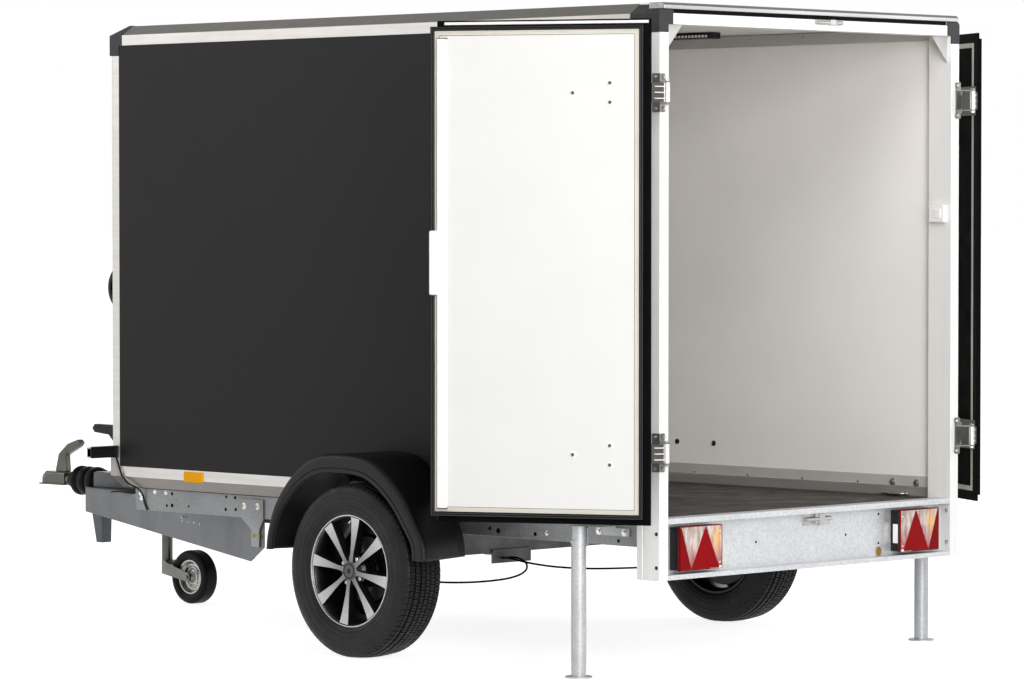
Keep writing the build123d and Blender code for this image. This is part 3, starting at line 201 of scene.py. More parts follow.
# ---------------------------------------------------------------- materials
KIT = {}
USUAL_SHINE = 0.5


class Finish:
    """A procedural material: a Principled shader and the nodes that feed it."""

    def __init__(self, name, colour, rough, metal=0.0, shine=USUAL_SHINE):
        self.mat = bpy.data.materials.new(name)
        self.mat.use_nodes = True
        self.tree = self.mat.node_tree
        self.shader = self.tree.nodes["Principled BSDF"]
        for socket, value in (("Base Color", (*colour, 1)), ("Roughness", rough),
                              ("Metallic", metal), ("Specular IOR Level", shine)):
            self.shader.inputs[socket].default_value = value
        self.place = self.node("TexCoord").outputs["Object"]
        self.last_bump = None
        KIT[name] = self.mat

    def node(self, kind, inputs=(), **settings):
        """Adds a node to this material."""
        return add_node(self.tree, kind, inputs, **settings)

    def noise(self, scale, detail=3.0, stretch=None):
        """Cloudy noise from 0 to 1, stretched on each axis if asked."""
        vector = self.place
        if stretch:
            vector = self.node("Mapping", {"Vector": vector, "Scale": stretch}).outputs[0]
        inputs = {"Vector": vector, "Scale": scale, "Detail": detail}
        return self.node("TexNoise", inputs).outputs[0]

    def cells(self, scale, output):
        """Cells of random value, or the distance within them."""
        return self.node("TexVoronoi", {"Vector": self.place, "Scale": scale}).outputs[output]

    def span(self, value, low_to, high_to, low_from=0.0, high_from=1.0):
        """A value stretched from one range to another."""
        return self.node("MapRange", {"Value": value, "From Min": low_from, "From Max": high_from,
                                      "To Min": low_to, "To Max": high_to}).outputs[0]

    def math(self, operation, *values):
        """One arithmetic step."""
        return self.node("Math", dict(enumerate(values)), operation=operation).outputs[0]

    def mix(self, factor, first, second):
        """A colour between two, by a factor."""
        inputs = {"Factor": factor}
        for index, value in ((6, first), (7, second)):
            inputs[index] = value if isinstance(value, bpy.types.NodeSocket) else (*value, 1)
        return self.node("Mix", inputs, data_type="RGBA").outputs[2]

    def shades(self, noise, dark, light, start=0.3, end=0.7):
        """A colour that a noise moves from dark to light."""
        return self.mix(self.span(noise, 0.0, 1.0, start, end), dark, light)

    def scaled(self, colour, factor):
        """A colour made lighter or darker."""
        return self.node("VectorMath", {0: colour, "Scale": factor}, operation="SCALE").outputs[0]

    def along(self, direction):
        """The coordinate of a point along a direction, in metres."""
        return self.node("VectorMath", {0: self.place, 1: direction},
                         operation="DOT_PRODUCT").outputs["Value"]

    def across(self):
        """The distance of a point from the centre plane, in metres."""
        return self.math("ABSOLUTE", self.along(OUT))

    def apart(self, first, second):
        """The distance from a line, given a coordinate and the line's place on each of two axes."""
        legs = [self.math("SUBTRACT", value, place) for value, place in (first, second)]
        squares = [self.math("MULTIPLY", leg, leg) for leg in legs]
        return self.math("SQRT", self.math("ADD", *squares))

    def colour(self, value):
        """Feeds the base colour."""
        self.feed("Base Color", value)

    def gloss(self, noise, smooth, rough):
        """Lets a noise vary the roughness."""
        self.feed("Roughness", self.span(noise, smooth, rough, 0.3, 0.7))

    def feed(self, socket, value):
        """Feeds a socket of the shader."""
        self.tree.links.new(value, self.shader.inputs[socket])

    def bump(self, height, depth):
        """Adds relief of a depth in metres."""
        inputs = {"Height": height, "Distance": depth, "Strength": 1.0}
        if self.last_bump:
            inputs["Normal"] = self.last_bump
        self.last_bump = self.node("Bump", inputs).outputs[0]
        self.feed("Normal", self.last_bump)

    def pebble(self, scale, depth):
        """Adds relief of small round cells."""
        self.bump(self.cells(scale, "Distance"), depth)


BLACK_PANEL = (0.0145, 0.0138, 0.014)
WHITE_BOARD = (0.86, 0.83, 0.79)

# Name, colour, roughness, metal, how far wear varies it, depth of its grain in metres, then its
# shine and its grain's scale where they aren't the usual.
PLAIN = (
    ("white_board", (0.72, 0.715, 0.70), 0.5, 0.0, 0.01, 0.00004, 0.2),
    ("taupe", (0.50, 0.485, 0.455), 0.42, 0.15, 0.06, 0.00004),
    ("zinc", (0.42, 0.415, 0.40), 0.28, 0.95, 0.2, 0.00003),
    ("dull_zinc", (0.12, 0.115, 0.102), 0.34, 0.85, 0.3, 0.00005),
    ("gusset", (0.50, 0.49, 0.485), 0.4, 0.1, 0.05, 0.00003),
    ("olive_zinc", (0.21, 0.215, 0.20), 0.34, 0.85, 0.2, 0.00004),
    ("steel", (0.72, 0.71, 0.69), 0.2, 1.0, 0.08, 0.00002),
    # Black steel, also used as painted shade in gaps.
    ("black_steel", (0.015, 0.015, 0.016), 0.42, 0.0, 0.2, 0.00008, 0.25),
    ("black_plastic", (0.0055, 0.0055, 0.006), 0.44, 0.0, 0.1, 0.0002, 0.24, 700.0),
    ("hub_grey", (0.08, 0.08, 0.085), 0.35, 0.4, 0.1, 0.00004),
    ("door_black", (0.0055, 0.005, 0.005), 0.5, 0.0, 0.06, 0.0001, 0.006),
    ("white_plastic", (0.84, 0.84, 0.82), 0.28, 0.0, 0.02, 0.00002, USUAL_SHINE, 200.0),
    ("cream", (0.62, 0.59, 0.52), 0.5, 0.0, 0.05, 0.00004),
    # Black rubber, also used as painted shade in holes and recesses.
    ("gasket", (0.004, 0.004, 0.0045), 0.4, 0.0, 0.2, 0.00006, 0.03),
    ("seal_bead", (0.006, 0.006, 0.007), 0.22, 0.0, 0.1, 0.00003, 0.45),
    ("rubber", (0.0042, 0.0042, 0.0046), 0.46, 0.0, 0.15, 0.0001, 0.12),
    ("brass", (0.30, 0.18, 0.045), 0.35, 0.9, 0.1, 0.00003),
    ("yellow_cap", (0.62, 0.42, 0.06), 0.45, 0.0, 0.08, 0.00003),
    ("rim_black", (0.004, 0.004, 0.0045), 0.3, 0.0, 0.2, 0.00002, 0.3))
# Name, colour, roughness, variation, shine and scale of the cells in the lens.
LENSES = (("amber", (0.97, 0.43, 0.0), 0.3, 0.05, 0.1, 420.0),
          ("lamp_red", (0.25, 0.0008, 0.003), 0.25, 0.1, 0.06, 330.0),
          ("lamp_dark_red", (0.2, 0.001, 0.003), 0.25, 0.1, 0.06, 330.0))
# Name, dark and light tone of the spangles, and how far dull clouds cover them.
GALVANISED = (("galvanised", (0.52, 0.53, 0.55), (0.66, 0.67, 0.68), 0.12),
              # Beam and arm zinc are darker copies of the galvanised plate: partly their own duller
              # zinc, partly painted shade under the body.
              ("beam_zinc", (0.24, 0.245, 0.25), (0.32, 0.325, 0.33), 0.4),
              ("arm_zinc", (0.092, 0.098, 0.107), (0.15, 0.158, 0.17), 0.7),
              ("stand_zinc", (0.42, 0.43, 0.44), (0.52, 0.53, 0.54), 0.3))
# Name, test of the height beyond which a rail's slope is painted dark as shade, and that height.
RAILS = (("aluminium", None, 0.0), ("roof_rail", "GREATER_THAN", SLOPE_HIGH * MM),
         ("sill_rail", "LESS_THAN", SLOPE_LOW * MM))


def plain(name, colour, rough, metal, vary, grain, shine=USUAL_SHINE, scale=900.0):
    """A finish with cloudy wear in colour and gloss, and a fine grain."""
    made = Finish(name, colour, rough, metal, shine)
    dark = tuple(c * (1 - vary) for c in colour)
    light = tuple(min(1.0, c * (1 + vary)) for c in colour)
    made.colour(made.shades(made.noise(6.0, 5.0), dark, light))
    made.gloss(made.noise(17.0, 4.0), rough * 0.82, rough * 1.18)
    if grain:
        made.bump(made.noise(scale, 2.0), grain)
    return made


def two_sided(name, direction, threshold, near, far, far_rough, absolute=False):
    """A board with one finish on one side of a plane and another beyond it; side boards also get
    painted light that brightens them toward the top and the front.
    """
    made = Finish(name, near, 0.45, shine=0.14)
    place = made.along(direction)
    if absolute:
        place = made.math("ABSOLUTE", place)
    beyond = made.math("GREATER_THAN", place, threshold)
    cloud = made.span(made.noise(2.2, 3.0), 0.97, 1.03, 0.3, 0.7)
    # Side boards only: painted light, the colour brightened toward the top and the front.
    if absolute:
        lift = made.span(made.along((0, 0.3, 1)), 0.93, 1.12, 0.2, 2.1)
        cloud = made.math("MULTIPLY", cloud, lift)
    made.colour(made.scaled(made.mix(beyond, near, far), cloud))
    made.feed("Roughness", made.span(beyond, 0.5, far_rough))
    made.bump(made.noise(420.0, 2.0), 0.00012)


def zinc_finish(name, dark, light, cloudy):
    """Spangled galvanised steel under duller clouds."""
    zinc = Finish(name, light, 0.42, 0.55)
    grey = zinc.node("SeparateColor", {0: zinc.cells(170.0, "Color")}).outputs[0]
    spangled = zinc.mix(zinc.span(grey, 0, 1), dark, light)
    cloud = zinc.span(zinc.noise(5.0, 6.0), 0.0, cloudy, 0.42, 0.68)
    zinc.colour(zinc.mix(cloud, spangled, tuple(c * 0.6 for c in dark)))
    zinc.feed("Roughness", zinc.span(grey, 0.33, 0.52))
    zinc.bump(zinc.noise(160.0, 3.0), 0.00008)


def drawn_metal(name, colour, rough, metal, stretch, dark, light):
    """Metal with streaks along a direction, and the colour of its streaks."""
    made = Finish(name, colour, rough, metal)
    return made, made.shades(made.noise(60.0, 3.0, stretch), dark, light)


def rail_finish(name, test, height):
    """Drawn aluminium, with painted shade on a slope that turns away from the light."""
    made, band = drawn_metal(name, (0.60, 0.58, 0.56), 0.4, 0.8, (1.0, 0.05, 1.0),
                             (0.58, 0.56, 0.535), (0.64, 0.62, 0.60))
    # Painted shade: past the height, the slope's colour is a dark grey instead of the metal's own.
    if test:
        slope = made.math(test, made.along(UP), height)
        band = made.mix(slope, band, (0.22, 0.205, 0.19))
    made.colour(band)
    made.gloss(made.noise(24.0, 4.0), 0.34, 0.44)
    made.bump(made.noise(700.0, 2.0), 0.00004)


def cap_finish():
    """Black plastic, white on the inner faces of the rear caps, pale on the lower corners."""
    made = Finish("cap_plastic", (0.048, 0.048, 0.052), 0.45, shine=0.3)
    height = made.along(UP)
    length = made.along(AHEAD)
    pale = made.mix(made.math("LESS_THAN", height, SLOPE_LOW * MM), (0.50, 0.49, 0.47),
                    (0.11, 0.105, 0.10))
    upper = made.mix(made.noise(9.0, 3.0), (0.020, 0.020, 0.0225), (0.026, 0.026, 0.029))
    inside = made.math("MULTIPLY", made.math("LESS_THAN", made.across(), (HALF - 41.5) * MM),
                       made.math("GREATER_THAN", length, (REAR + 4) * MM))
    rear = made.math("LESS_THAN", length, 0.0)
    upper = made.mix(made.math("MULTIPLY", inside, rear), upper, WHITE_BOARD)
    made.colour(made.mix(made.math("LESS_THAN", height, 1.0), upper, pale))
    made.bump(made.noise(900.0, 2.0), 0.0001)


def post_finishes():
    """White lacquered aluminium, which the doors' edges also use as a painted highlight, and the
    posts' own, toned like the walls where they run on.
    """
    upright = (1.0, 1.0, 0.06)
    made, white = drawn_metal("aluminium_and_highlight", (0.83, 0.83, 0.82), 0.38, 0.15, upright,
                              (0.83, 0.83, 0.82), (0.88, 0.88, 0.87))
    made.colour(white)
    made.gloss(made.noise(24.0, 4.0), 0.3, 0.46)

    made, white = drawn_metal("aluminium_post", (0.85, 0.85, 0.84), 0.38, 0.1, upright,
                              (0.80, 0.80, 0.79), (0.84, 0.84, 0.83))
    inside = made.math("MULTIPLY", made.math("LESS_THAN", made.across(), (HALF - 4) * MM),
                       made.math("GREATER_THAN", made.along(AHEAD), (REAR + 40) * MM))
    made.colour(made.mix(inside, white, WHITE_BOARD))
    made.gloss(made.noise(24.0, 4.0), 0.3, 0.46)


def header_finish():
    """White header face with a bare metal rain profile above it."""
    made, metal = drawn_metal("header_rain", (0.83, 0.83, 0.82), 0.3, 0.0, (0.05, 1.0, 1.0),
                              (0.32, 0.315, 0.31), (0.42, 0.415, 0.41))
    rain = made.math("GREATER_THAN", made.along(UP), (high("rear_header").z - 21.5) * MM)
    made.colour(made.mix(rain, (0.86, 0.86, 0.85), metal))
    made.feed("Metallic", made.span(rain, 0.05, 0.95))
    made.feed("Roughness", made.span(rain, 0.4, 0.22))


def strap_finish():
    """Dull zinc with a bright barrel round the hinge pin."""
    made = Finish("strap_zinc", (0.07, 0.066, 0.058), 0.4, 0.8)
    reach = made.apart((made.across(), PIN.x * MM), (made.along(AHEAD), PIN.y * MM))
    barrel = made.math("LESS_THAN", reach, 0.0105)
    dull = made.shades(made.noise(6.0, 5.0), (0.056, 0.053, 0.046), (0.084, 0.079, 0.07))
    made.colour(made.mix(barrel, dull, (0.72, 0.71, 0.69)))
    made.feed("Roughness", made.span(barrel, 0.4, 0.2))
    made.bump(made.noise(900.0, 2.0), 0.00004)


def machined_finish():
    """Turned metal of the spokes, with painted shade that darkens it toward the hub."""
    made = Finish("machined", (0.60, 0.585, 0.57), 0.3, 1.0)
    rings = made.noise(900.0, 2.0, (1.0, 0.2, 1.0))
    bright = made.shades(rings, (0.27, 0.265, 0.26), (0.44, 0.435, 0.43))
    # Painted shade: the colour is scaled down toward the hub.
    reach = made.apart((made.along(AHEAD), WHEEL.y * MM),
                       (made.along(UP), WHEEL.z * MM))
    made.colour(made.scaled(bright, made.span(reach, 0.5, 1.3, 0.04, 0.18)))
    made.gloss(rings, 0.24, 0.4)


def cover_reflection_finish():
    """A tail lamp's cover: silver streaks of painted reflection, red at its foot, with an orange
    spot of painted highlight.
    """
    made = Finish("lamp_cover_reflection", (0.7, 0.6, 0.55), 0.2)
    height = made.along(UP)
    # Silver streaks: painted reflection on the cover.
    silver = made.shades(made.noise(70.0, 3.0, (1.0, 1.0, 0.25)), (0.30, 0.20, 0.17),
                         (0.66, 0.58, 0.54), 0.35, 0.65)
    silver = made.mix(made.span(height, 1.0, 0.0, 0.345, 0.44), silver, (0.33, 0.02, 0.015))
    # An orange spot of painted highlight, off the middle of each lamp.
    across = made.math("ABSOLUTE", made.math("SUBTRACT", made.along(OUT), 0.07))
    near = made.math("ABSOLUTE", made.math("SUBTRACT", across, 0.545))
    above = made.math("ABSOLUTE", made.math("SUBTRACT", height, 0.445))
    highlight_distance = made.math("ADD", near, made.math("MULTIPLY", above, 0.6))
    made.colour(made.mix(made.span(highlight_distance, 0.8, 0.0, 0.0, 0.045), silver, (0.88, 0.42, 0.06)))
    made.pebble(260.0, 0.0008)


def make_materials():
    """Makes every finish, and keeps each in KIT by its name."""
    two_sided("side_board", OUT, HALF * MM - 0.004, WHITE_BOARD, BLACK_PANEL, 0.5, True)
    two_sided("front_board", AHEAD, high("front_panel").y * MM - 0.004, WHITE_BOARD,
              BLACK_PANEL, 0.5)
    two_sided("roof_board", UP, low("roof_panel").z * MM + 0.006, WHITE_BOARD,
              (0.78, 0.78, 0.77), 0.35)
    for values in PLAIN:
        plain(*values)
    for name, colour, rough, vary, shine, scale in LENSES:
        plain(name, colour, rough, 0.0, vary, 0.0, shine).pebble(scale, 0.0004)
    clear = plain("lamp_clear", (0.78, 0.78, 0.78), 0.12, 0.0, 0.08, 0.0)
    clear.shader.inputs["Coat Weight"].default_value = 1.0
    for values in GALVANISED:
        zinc_finish(*values)
    for values in RAILS:
        rail_finish(*values)
    for make in (cap_finish, post_finishes, header_finish, strap_finish, machined_finish,
                 cover_reflection_finish):
        make()

    film = Finish("floor_film", (0.05, 0.043, 0.038), 0.5, shine=0.3)
    film.colour(film.shades(film.noise(120.0, 4.0, (1.0, 0.12, 1.0)), (0.009, 0.0072, 0.0058),
                            (0.024, 0.0192, 0.0156)))
    film.gloss(film.noise(9.0, 4.0), 0.42, 0.62)
    film.pebble(240.0, 0.0004)

    tyre = Finish("tyre_rubber", (0.02, 0.0195, 0.019), 0.5, shine=0.24)
    tyre.colour(tyre.shades(tyre.noise(9.0, 6.0), (0.004, 0.0038, 0.0036),
                            (0.0135, 0.0122, 0.0108), 0.35, 0.75))
    tyre.gloss(tyre.noise(30.0, 4.0), 0.42, 0.62)
    tyre.bump(tyre.noise(600.0, 3.0), 0.00015)

    door = Finish("door_profile", (0.005, 0.0045, 0.0045), 0.4, shine=0.006)
    door.bump(door.noise(300.0, 2.0), 0.00004)
    door.colour(door.shades(door.noise(12.0, 4.0), (0.0042, 0.004, 0.004), (0.0065, 0.006, 0.006)))

    axle = Finish("axle_zinc", (0.2, 0.2, 0.21), 0.5, 0.6)
    axle.colour(axle.shades(axle.noise(10.0, 5.0), (0.09, 0.09, 0.095), (0.2, 0.2, 0.21)))
    axle.bump(axle.noise(200.0, 3.0), 0.0001)


# ---------------------------------------------------------------- mesh helpers
def fixed(x, y, z):
    """A point on the body: X from the centre plane, Y from the rear posts, Z from the ground."""
    return Vector((x, y + REAR, z)) * MM


def mirrored(x, y, z):
    """The same point on the left side."""
    return fixed(-x, y, z)


BOTH = (fixed, mirrored)


def on_door(side):
    """How a point of a closed right-hand door lies on the open door of one side."""
    def put(x, y, z):
        reach = Vector((x - PIN.x, y + REAR - PIN.y)).to_3d()
        turned = Matrix.Rotation(OPEN, 3, "Z") @ reach
        return Vector((side * (PIN.x + turned.x), PIN.y + turned.y, z)) * MM
    return put


def join_loops(mesh, loops):
    """Adds faces between loops of as many corners each, and returns them."""
    return [mesh.faces.new((first[k], first[(k + 1) % len(first)], second[(k + 1) % len(first)],
                            second[k]))
            for first, second in zip(loops, loops[1:]) for k in range(len(first))]


def add_box(mesh, put, x0, x1, y0, y1, z0, z1):
    """Adds a box between limits on each axis."""
    corners = [mesh.verts.new(put(x, y, z)) for x in (x0, x1) for y in (y0, y1) for z in (z0, z1)]
    for face in ("0132", "4675", "0451", "2376", "0264", "1573"):
        mesh.faces.new([corners[int(i)] for i in face])


def add_prism(mesh, put, outline, axis, start, end):
    """Adds a prism along X or Y from an outline in the other two axes, Z last."""
    loops = [[mesh.verts.new(put(along, a, b) if axis == "x" else put(a, along, b))
              for a, b in outline] for along in (start, end)]
    join_loops(mesh, loops)
    for loop in loops:
        mesh.faces.new(loop)


def frame_of(direction):
    """Two directions square to a given one."""
    direction = Vector(direction).normalized()
    helper = Vector(UP) if abs(direction.z) < 0.9 else Vector(OUT)
    across = direction.cross(helper).normalized()
    return across, direction.cross(across)


def add_lathe(mesh, put, profile, origin, direction, steps, phase=0.0, closed=False):
    """Turns a profile of distances along an axis and radii about that axis."""
    origin, direction = Vector(origin), Vector(direction).normalized()
    across, up = frame_of(direction)
    rings = []
    for along, radius in profile:
        middle = origin + direction * along
        if radius < 1e-6:
            rings.append([mesh.verts.new(put(*middle))])
            continue
        angles = [phase + 2 * math.pi * k / steps for k in range(steps)]
        rings.append([mesh.verts.new(put(*(middle + (across * math.cos(angle)
                                                     + up * math.sin(angle)) * radius)))
                      for angle in angles])
    for first, second in zip(rings, rings[1:] + (rings[:1] if closed else [])):
        for k in range(steps):
            j = (k + 1) % steps
            corners = list(dict.fromkeys((first[k % len(first)], first[j % len(first)],
                                          second[j % len(second)], second[k % len(second)])))
            if len(corners) > 2:
                mesh.faces.new(corners)
    if not closed:
        for ring in (rings[0], rings[-1]):
            if len(ring) > 1:
                mesh.faces.new(ring)


def add_disc(mesh, put, place, direction, radius, back=-0.2, front=0.4, steps=24):
    """Adds a thin disc, which in black is painted shade that marks a hole or a gap."""
    add_lathe(mesh, put, [(back, 0), (back, radius), (front, radius), (front, 0)], place, direction,
              steps)


def add_bolt(mesh, put, place, direction, size, high_by, washer=True):
    """Adds a six-sided bolt head with a chamfered top, and a washer under it."""
    lift = 0.0
    if washer:
        add_lathe(mesh, put, [(0, 0), (0, size * 1.45), (1.1, size * 1.45), (1.5, size * 1.35),
                              (1.5, 0)], place, direction, 20)
        lift = 1.5
    add_lathe(mesh, put, [(lift, 0), (lift, size), (lift + high_by * 0.8, size),
                          (lift + high_by, size * 0.8), (lift + high_by, 0)],
              place, direction, 6, 0.3)


def add_dome(mesh, put, place, direction, size, high_by):
    """Adds a round rivet or button head."""
    profile = [(0, 0), (0, size)]
    profile += [(high_by * math.sin(a), size * math.cos(a)) for a in (0.35, 0.75, 1.15)]
    add_lathe(mesh, put, profile + [(high_by, 0)], place, direction, 16)


def add_tube(mesh, put, points, wide, steps=10, tall=None):
    """Sweeps a round or oval section along points, with closed ends."""
    tall = tall or wide
    section = [(math.cos(2 * math.pi * k / steps) * wide, math.sin(2 * math.pi * k / steps) * tall)
               for k in range(steps)]
    points = [Vector(p) for p in points]
    across, up = frame_of(points[1] - points[0])
    rings = []
    for i, point in enumerate(points):
        ahead = (points[min(i + 1, len(points) - 1)] - points[max(i - 1, 0)]).normalized()
        across = (across - ahead * across.dot(ahead)).normalized()
        up = ahead.cross(across)
        rings.append([mesh.verts.new(put(*(point + across * a + up * b))) for a, b in section])
    join_loops(mesh, rings)
    mesh.faces.new(rings[0])
    mesh.faces.new(rings[-1])


def add_ring(mesh, put, outline, width, y0, y1):
    """Adds a flat frame of mitred bars round a rectangle."""
    x0, x1, z0, z1 = outline
    inner = (x0 + width, x1 - width, z0 + width, z1 - width)
    loops = [[mesh.verts.new(put(*p)) for p in ((a, y, c), (b, y, c), (b, y, d), (a, y, d))]
             for (a, b, c, d), y in ((outline, y0), (outline, y1), (inner, y1), (inner, y0))]
    join_loops(mesh, loops + loops[:1])


def curve(points, per_span=6):
    """Points along a smooth line through the given ones."""
    points = [Vector(p) for p in points]
    made = []
    for i in range(len(points) - 1):
        a, b, c = points[max(i - 1, 0)], points[i], points[i + 1]
        d = points[min(i + 2, len(points) - 1)]
        for k in range(per_span):
            t = k / per_span
            made.append(0.5 * (2 * b + (c - a) * t + (2 * a - 5 * b + 4 * c - d) * t * t
                               + (3 * b - a - 3 * c + d) * t ** 3))
    return made + [points[-1]]


def make_piece(name, fill, materials, body, slot, bevel=0.0, segments=2, angle=32, replaces=()):
    """Makes an object of a mesh that a function fills, and ties it to a body; the slot it is given
    is not used.
    """
    mesh = bmesh.new()
    fill(mesh)
    bmesh.ops.recalc_face_normals(mesh, faces=mesh.faces)
    data = bpy.data.meshes.new(name)
    mesh.to_mesh(data)
    mesh.free()
    piece = bpy.data.objects.new(name, data)
    bpy.context.collection.objects.link(piece)
    for item in materials:
        data.materials.append(KIT[item])
    data.polygons.foreach_set("use_smooth", [True] * len(data.polygons))
    if bevel:
        modifier = piece.modifiers.new("bevel", "BEVEL")
        modifier.width = bevel * MM
        modifier.segments = segments
        modifier.limit_method = "ANGLE"
        modifier.angle_limit = math.radians(angle)
        modifier.use_clamp_overlap = True
        tidy = piece.modifiers.new("normals", "WEIGHTED_NORMAL")
        tidy.keep_sharp = True
    else:
        data.set_sharp_from_angle(angle=math.radians(angle))
    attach(piece, body)
    if replaces:
        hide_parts(*replaces)
    return piece


def assemble(name, finish, slot, *parts, puts=(fixed,), middle=(), body="trailer", **settings):
    """Makes a piece of parts, each a helper with its values, at every placing and in between."""
    def fill(mesh):
        for put in puts:
            for add, *values in parts:
                add(mesh, put, *values)
        for add, *values in middle:
            add(mesh, fixed, *values)
    return make_piece(name, fill, [finish], body, slot, **settings)


def each(add, spots, *values):
    """The same part at each of several spots."""
    return [(add, spot, *values) for spot in spots]


# What each CAD node is finished with, and how much its edges are rounded, if at all.
NODE_FINISHES = {
    "side_board": {"side_panels": 0}, "front_board": {"front_panel": 0},
    "roof_board": {"roof_panel": 0}, "floor_film": {"floor_board": 0},
    "roof_rail": {"roof_rails": 1.5}, "sill_rail": {"bottom_rails": 1.5},
    "aluminium": {"front_posts": 1.5}, "aluminium_post": {"rear_posts": 1.5},
    "header_rain": {"rear_header": 2.0}, "cap_plastic": {"corner_caps": 4.0},
    "gusset": {"header_gussets": 0}, "galvanised": {"rear_cross_panel": 1.5},
    "zinc": {"latch_keepers": 0.8}, "white_plastic": {"left_lock_cover": 1.5},
    "black_plastic": {"marker_lamps": 2.5, "grab_handles": 4.0, "right_door_handle": 2.0,
                      "handbrake_lever": 4.0},
    "door_profile": {"left_door_frame": 1.2, "right_door_frame": 1.2},
    "door_black": {"left_door_panel": 0, "right_door_panel": 0},
    "gasket": {"left_door_seal": 0, "right_door_seal": 0, "brake_cables": 0},
    "strap_zinc": {"left_hinge_straps": 1.2, "right_hinge_straps": 1.2},
    "olive_zinc": {"hinge_brackets": 0.8, "jockey_fork": 1.5},
    "beam_zinc": {"cross_members": 0, "jockey_bridge": 0, "chassis_beams": 2.0,
                  "frame_brackets": 1.2},
    "arm_zinc": {"drawbar_arms": 2.0, "drawbar_head": 1.2, "drawbar_foot": 2.0,
                 "overrun_housing": 3.0},
    "stand_zinc": {"stand_brackets": 1.2, "left_stand": 1.0, "right_stand": 1.0},
    "axle_zinc": {"axle_beam": 0}, "rubber": {"jockey_tyre": 0},
    "black_steel": {"axle_arms": 0, "left_brake_drum": 0, "right_brake_drum": 0},
    "dull_zinc": {"coupling_head": 1.5, "coupling_lever": 3.0, "jockey_tube": 1.0,
                  "jockey_stem": 0}}


def soften(name, material, bevel):
    """Shows a CAD node again with rounded edges and a finish."""
    def fill(mesh):
        mesh.from_mesh(nodes[name].data)
        bmesh.ops.remove_doubles(mesh, verts=mesh.verts, dist=0.02 * MM)
        bmesh.ops.dissolve_limit(mesh, angle_limit=math.radians(0.8), verts=mesh.verts,
                                 edges=mesh.edges)
    make_piece(f"{name}_rounded", fill, [material], body_of(nodes[name])[0], slots[name],
               bevel=bevel, segments=3, replaces=(name,))


def finish_nodes():
    """Gives the CAD nodes their finishes, most of them with rounded edges."""
    for finish, bevels in NODE_FINISHES.items():
        for name, bevel in bevels.items():
            if bevel:
                soften(name, finish, bevel)
                continue
            own = nodes[name].data.materials
            for i in range(len(own)):
                own[i] = KIT[finish]


# ---------------------------------------------------------------- wheels
HUB = (0, 0, 0)
PITCHES = 84                    # blocks of tread round the tyre
PITCH_STEPS = (0.0, 0.02, 0.17, 0.19, 0.5, 0.515, 0.595, 0.61)
DEEP_CUTS, SHALLOW_CUTS = (1, 2), (5, 6)    # steps at which the ribs are cut
RIBS = ((-66, -49), (-44, -24), (-19.5, -1.8), (1.8, 19.5), (24, 44), (49, 66))
RIB_SHIFTS = (0.0, 0.35, 0.1, 0.6, 0.25, 0.5)
GROOVE = 7.5
TYRE_SIDE = ((-65, 178.4), (-71, 184), (-77, 191), (-81.5, 197), (-83.5, 203), (-82.3, 204.5),
             (-82.9, 208), (-85.0, 209.5), (-86.6, 219), (-85.6, 220.5), (-85.8, 224),
             (-87.2, 225.5), (-87.3, 245), (-86.1, 246.5), (-85.9, 249.5), (-86.9, 251),
             (-85.6, 260), (-84.2, 261.5), (-83.6, 265), (-84.0, 267), (-81.5, 274), (-79, 281),
             (-74.5, 287.5), (-69.5, 291))
SPOKES = 8
FIRST_SPOKE = math.radians(9.2)
BRIGHT, BLACK, GREY, ZINC = range(4)
RIM_FINISHES = ("machined", "rim_black", "hub_grey", "zinc")
# Of a spoke: radius, half its width, and how far out its face and its back lie.
SPOKE_STATIONS = ((26, 10.5, 73, 46), (46, 8.2, 72.5, 42), (64, 7.6, 72, 40), (90, 9.6, 71.5, 40),
                  (120, 12.8, 71.5, 42), (150, 16.2, 72, 44), (170, 18.8, 73, 46),
                  (182, 20.6, 74.5, 50))


def on_wheel(side):
    """A point about the wheel's middle: X outward, then Y and Z."""
    def put(x, y, z):
        return Vector((side * (WHEEL.x + x), WHEEL.y + y, WHEEL.z + z)) * MM
    return put


def tyre_section():
    """The tyre's section from the inner bead over the tread's ribs to the outer bead and back."""
    tread = []
    for index, (start, end) in enumerate(RIBS):
        top = 296.0 - 0.0012 * max(abs(start), abs(end)) ** 2 * 0.9
        first = top - (2.0 if index == 0 else GROOVE)
        last = top - (2.0 if index == len(RIBS) - 1 else GROOVE)
        tread += [(start, first, None), (start + 0.8, top, index), (end - 0.8, top, index),
                  (end, last, None)]
    walls = [(x, r, "shoulder" if r > 281 else None) for x, r in TYRE_SIDE]
    inner = [(58, 176.5, None), (-58, 176.5, None)]
    return walls + tread + [(-x, r, key) for x, r, key in reversed(walls)] + inner


def fill_tyre(side):
    """Fills a tyre with grooved and siped tread."""
    put = on_wheel(side)
    outline = tyre_section()

    def ring(mesh, pitch, index):
        deep, shallow = index in DEEP_CUTS, index in SHALLOW_CUTS
        corners = []
        for x, radius, rib in outline:
            shift = 0.0
            if rib == "shoulder":
                shift = 0.0 if x < 0 else 0.5
                if deep:
                    radius -= 3.5
                    x *= 0.975
            elif rib is not None:
                shift = RIB_SHIFTS[rib]
                radius -= 7.0 * deep + 4.0 * shallow
            angle = 2 * math.pi * (pitch + PITCH_STEPS[index] + shift) / PITCHES
            corners.append(mesh.verts.new(put(x, radius * math.sin(angle),
                                              radius * math.cos(angle))))
        return corners

    def fill(mesh):
        rings = [ring(mesh, pitch, index) for pitch in range(PITCHES)
                 for index in range(len(PITCH_STEPS))]
        join_loops(mesh, rings + rings[:1])
    return fill


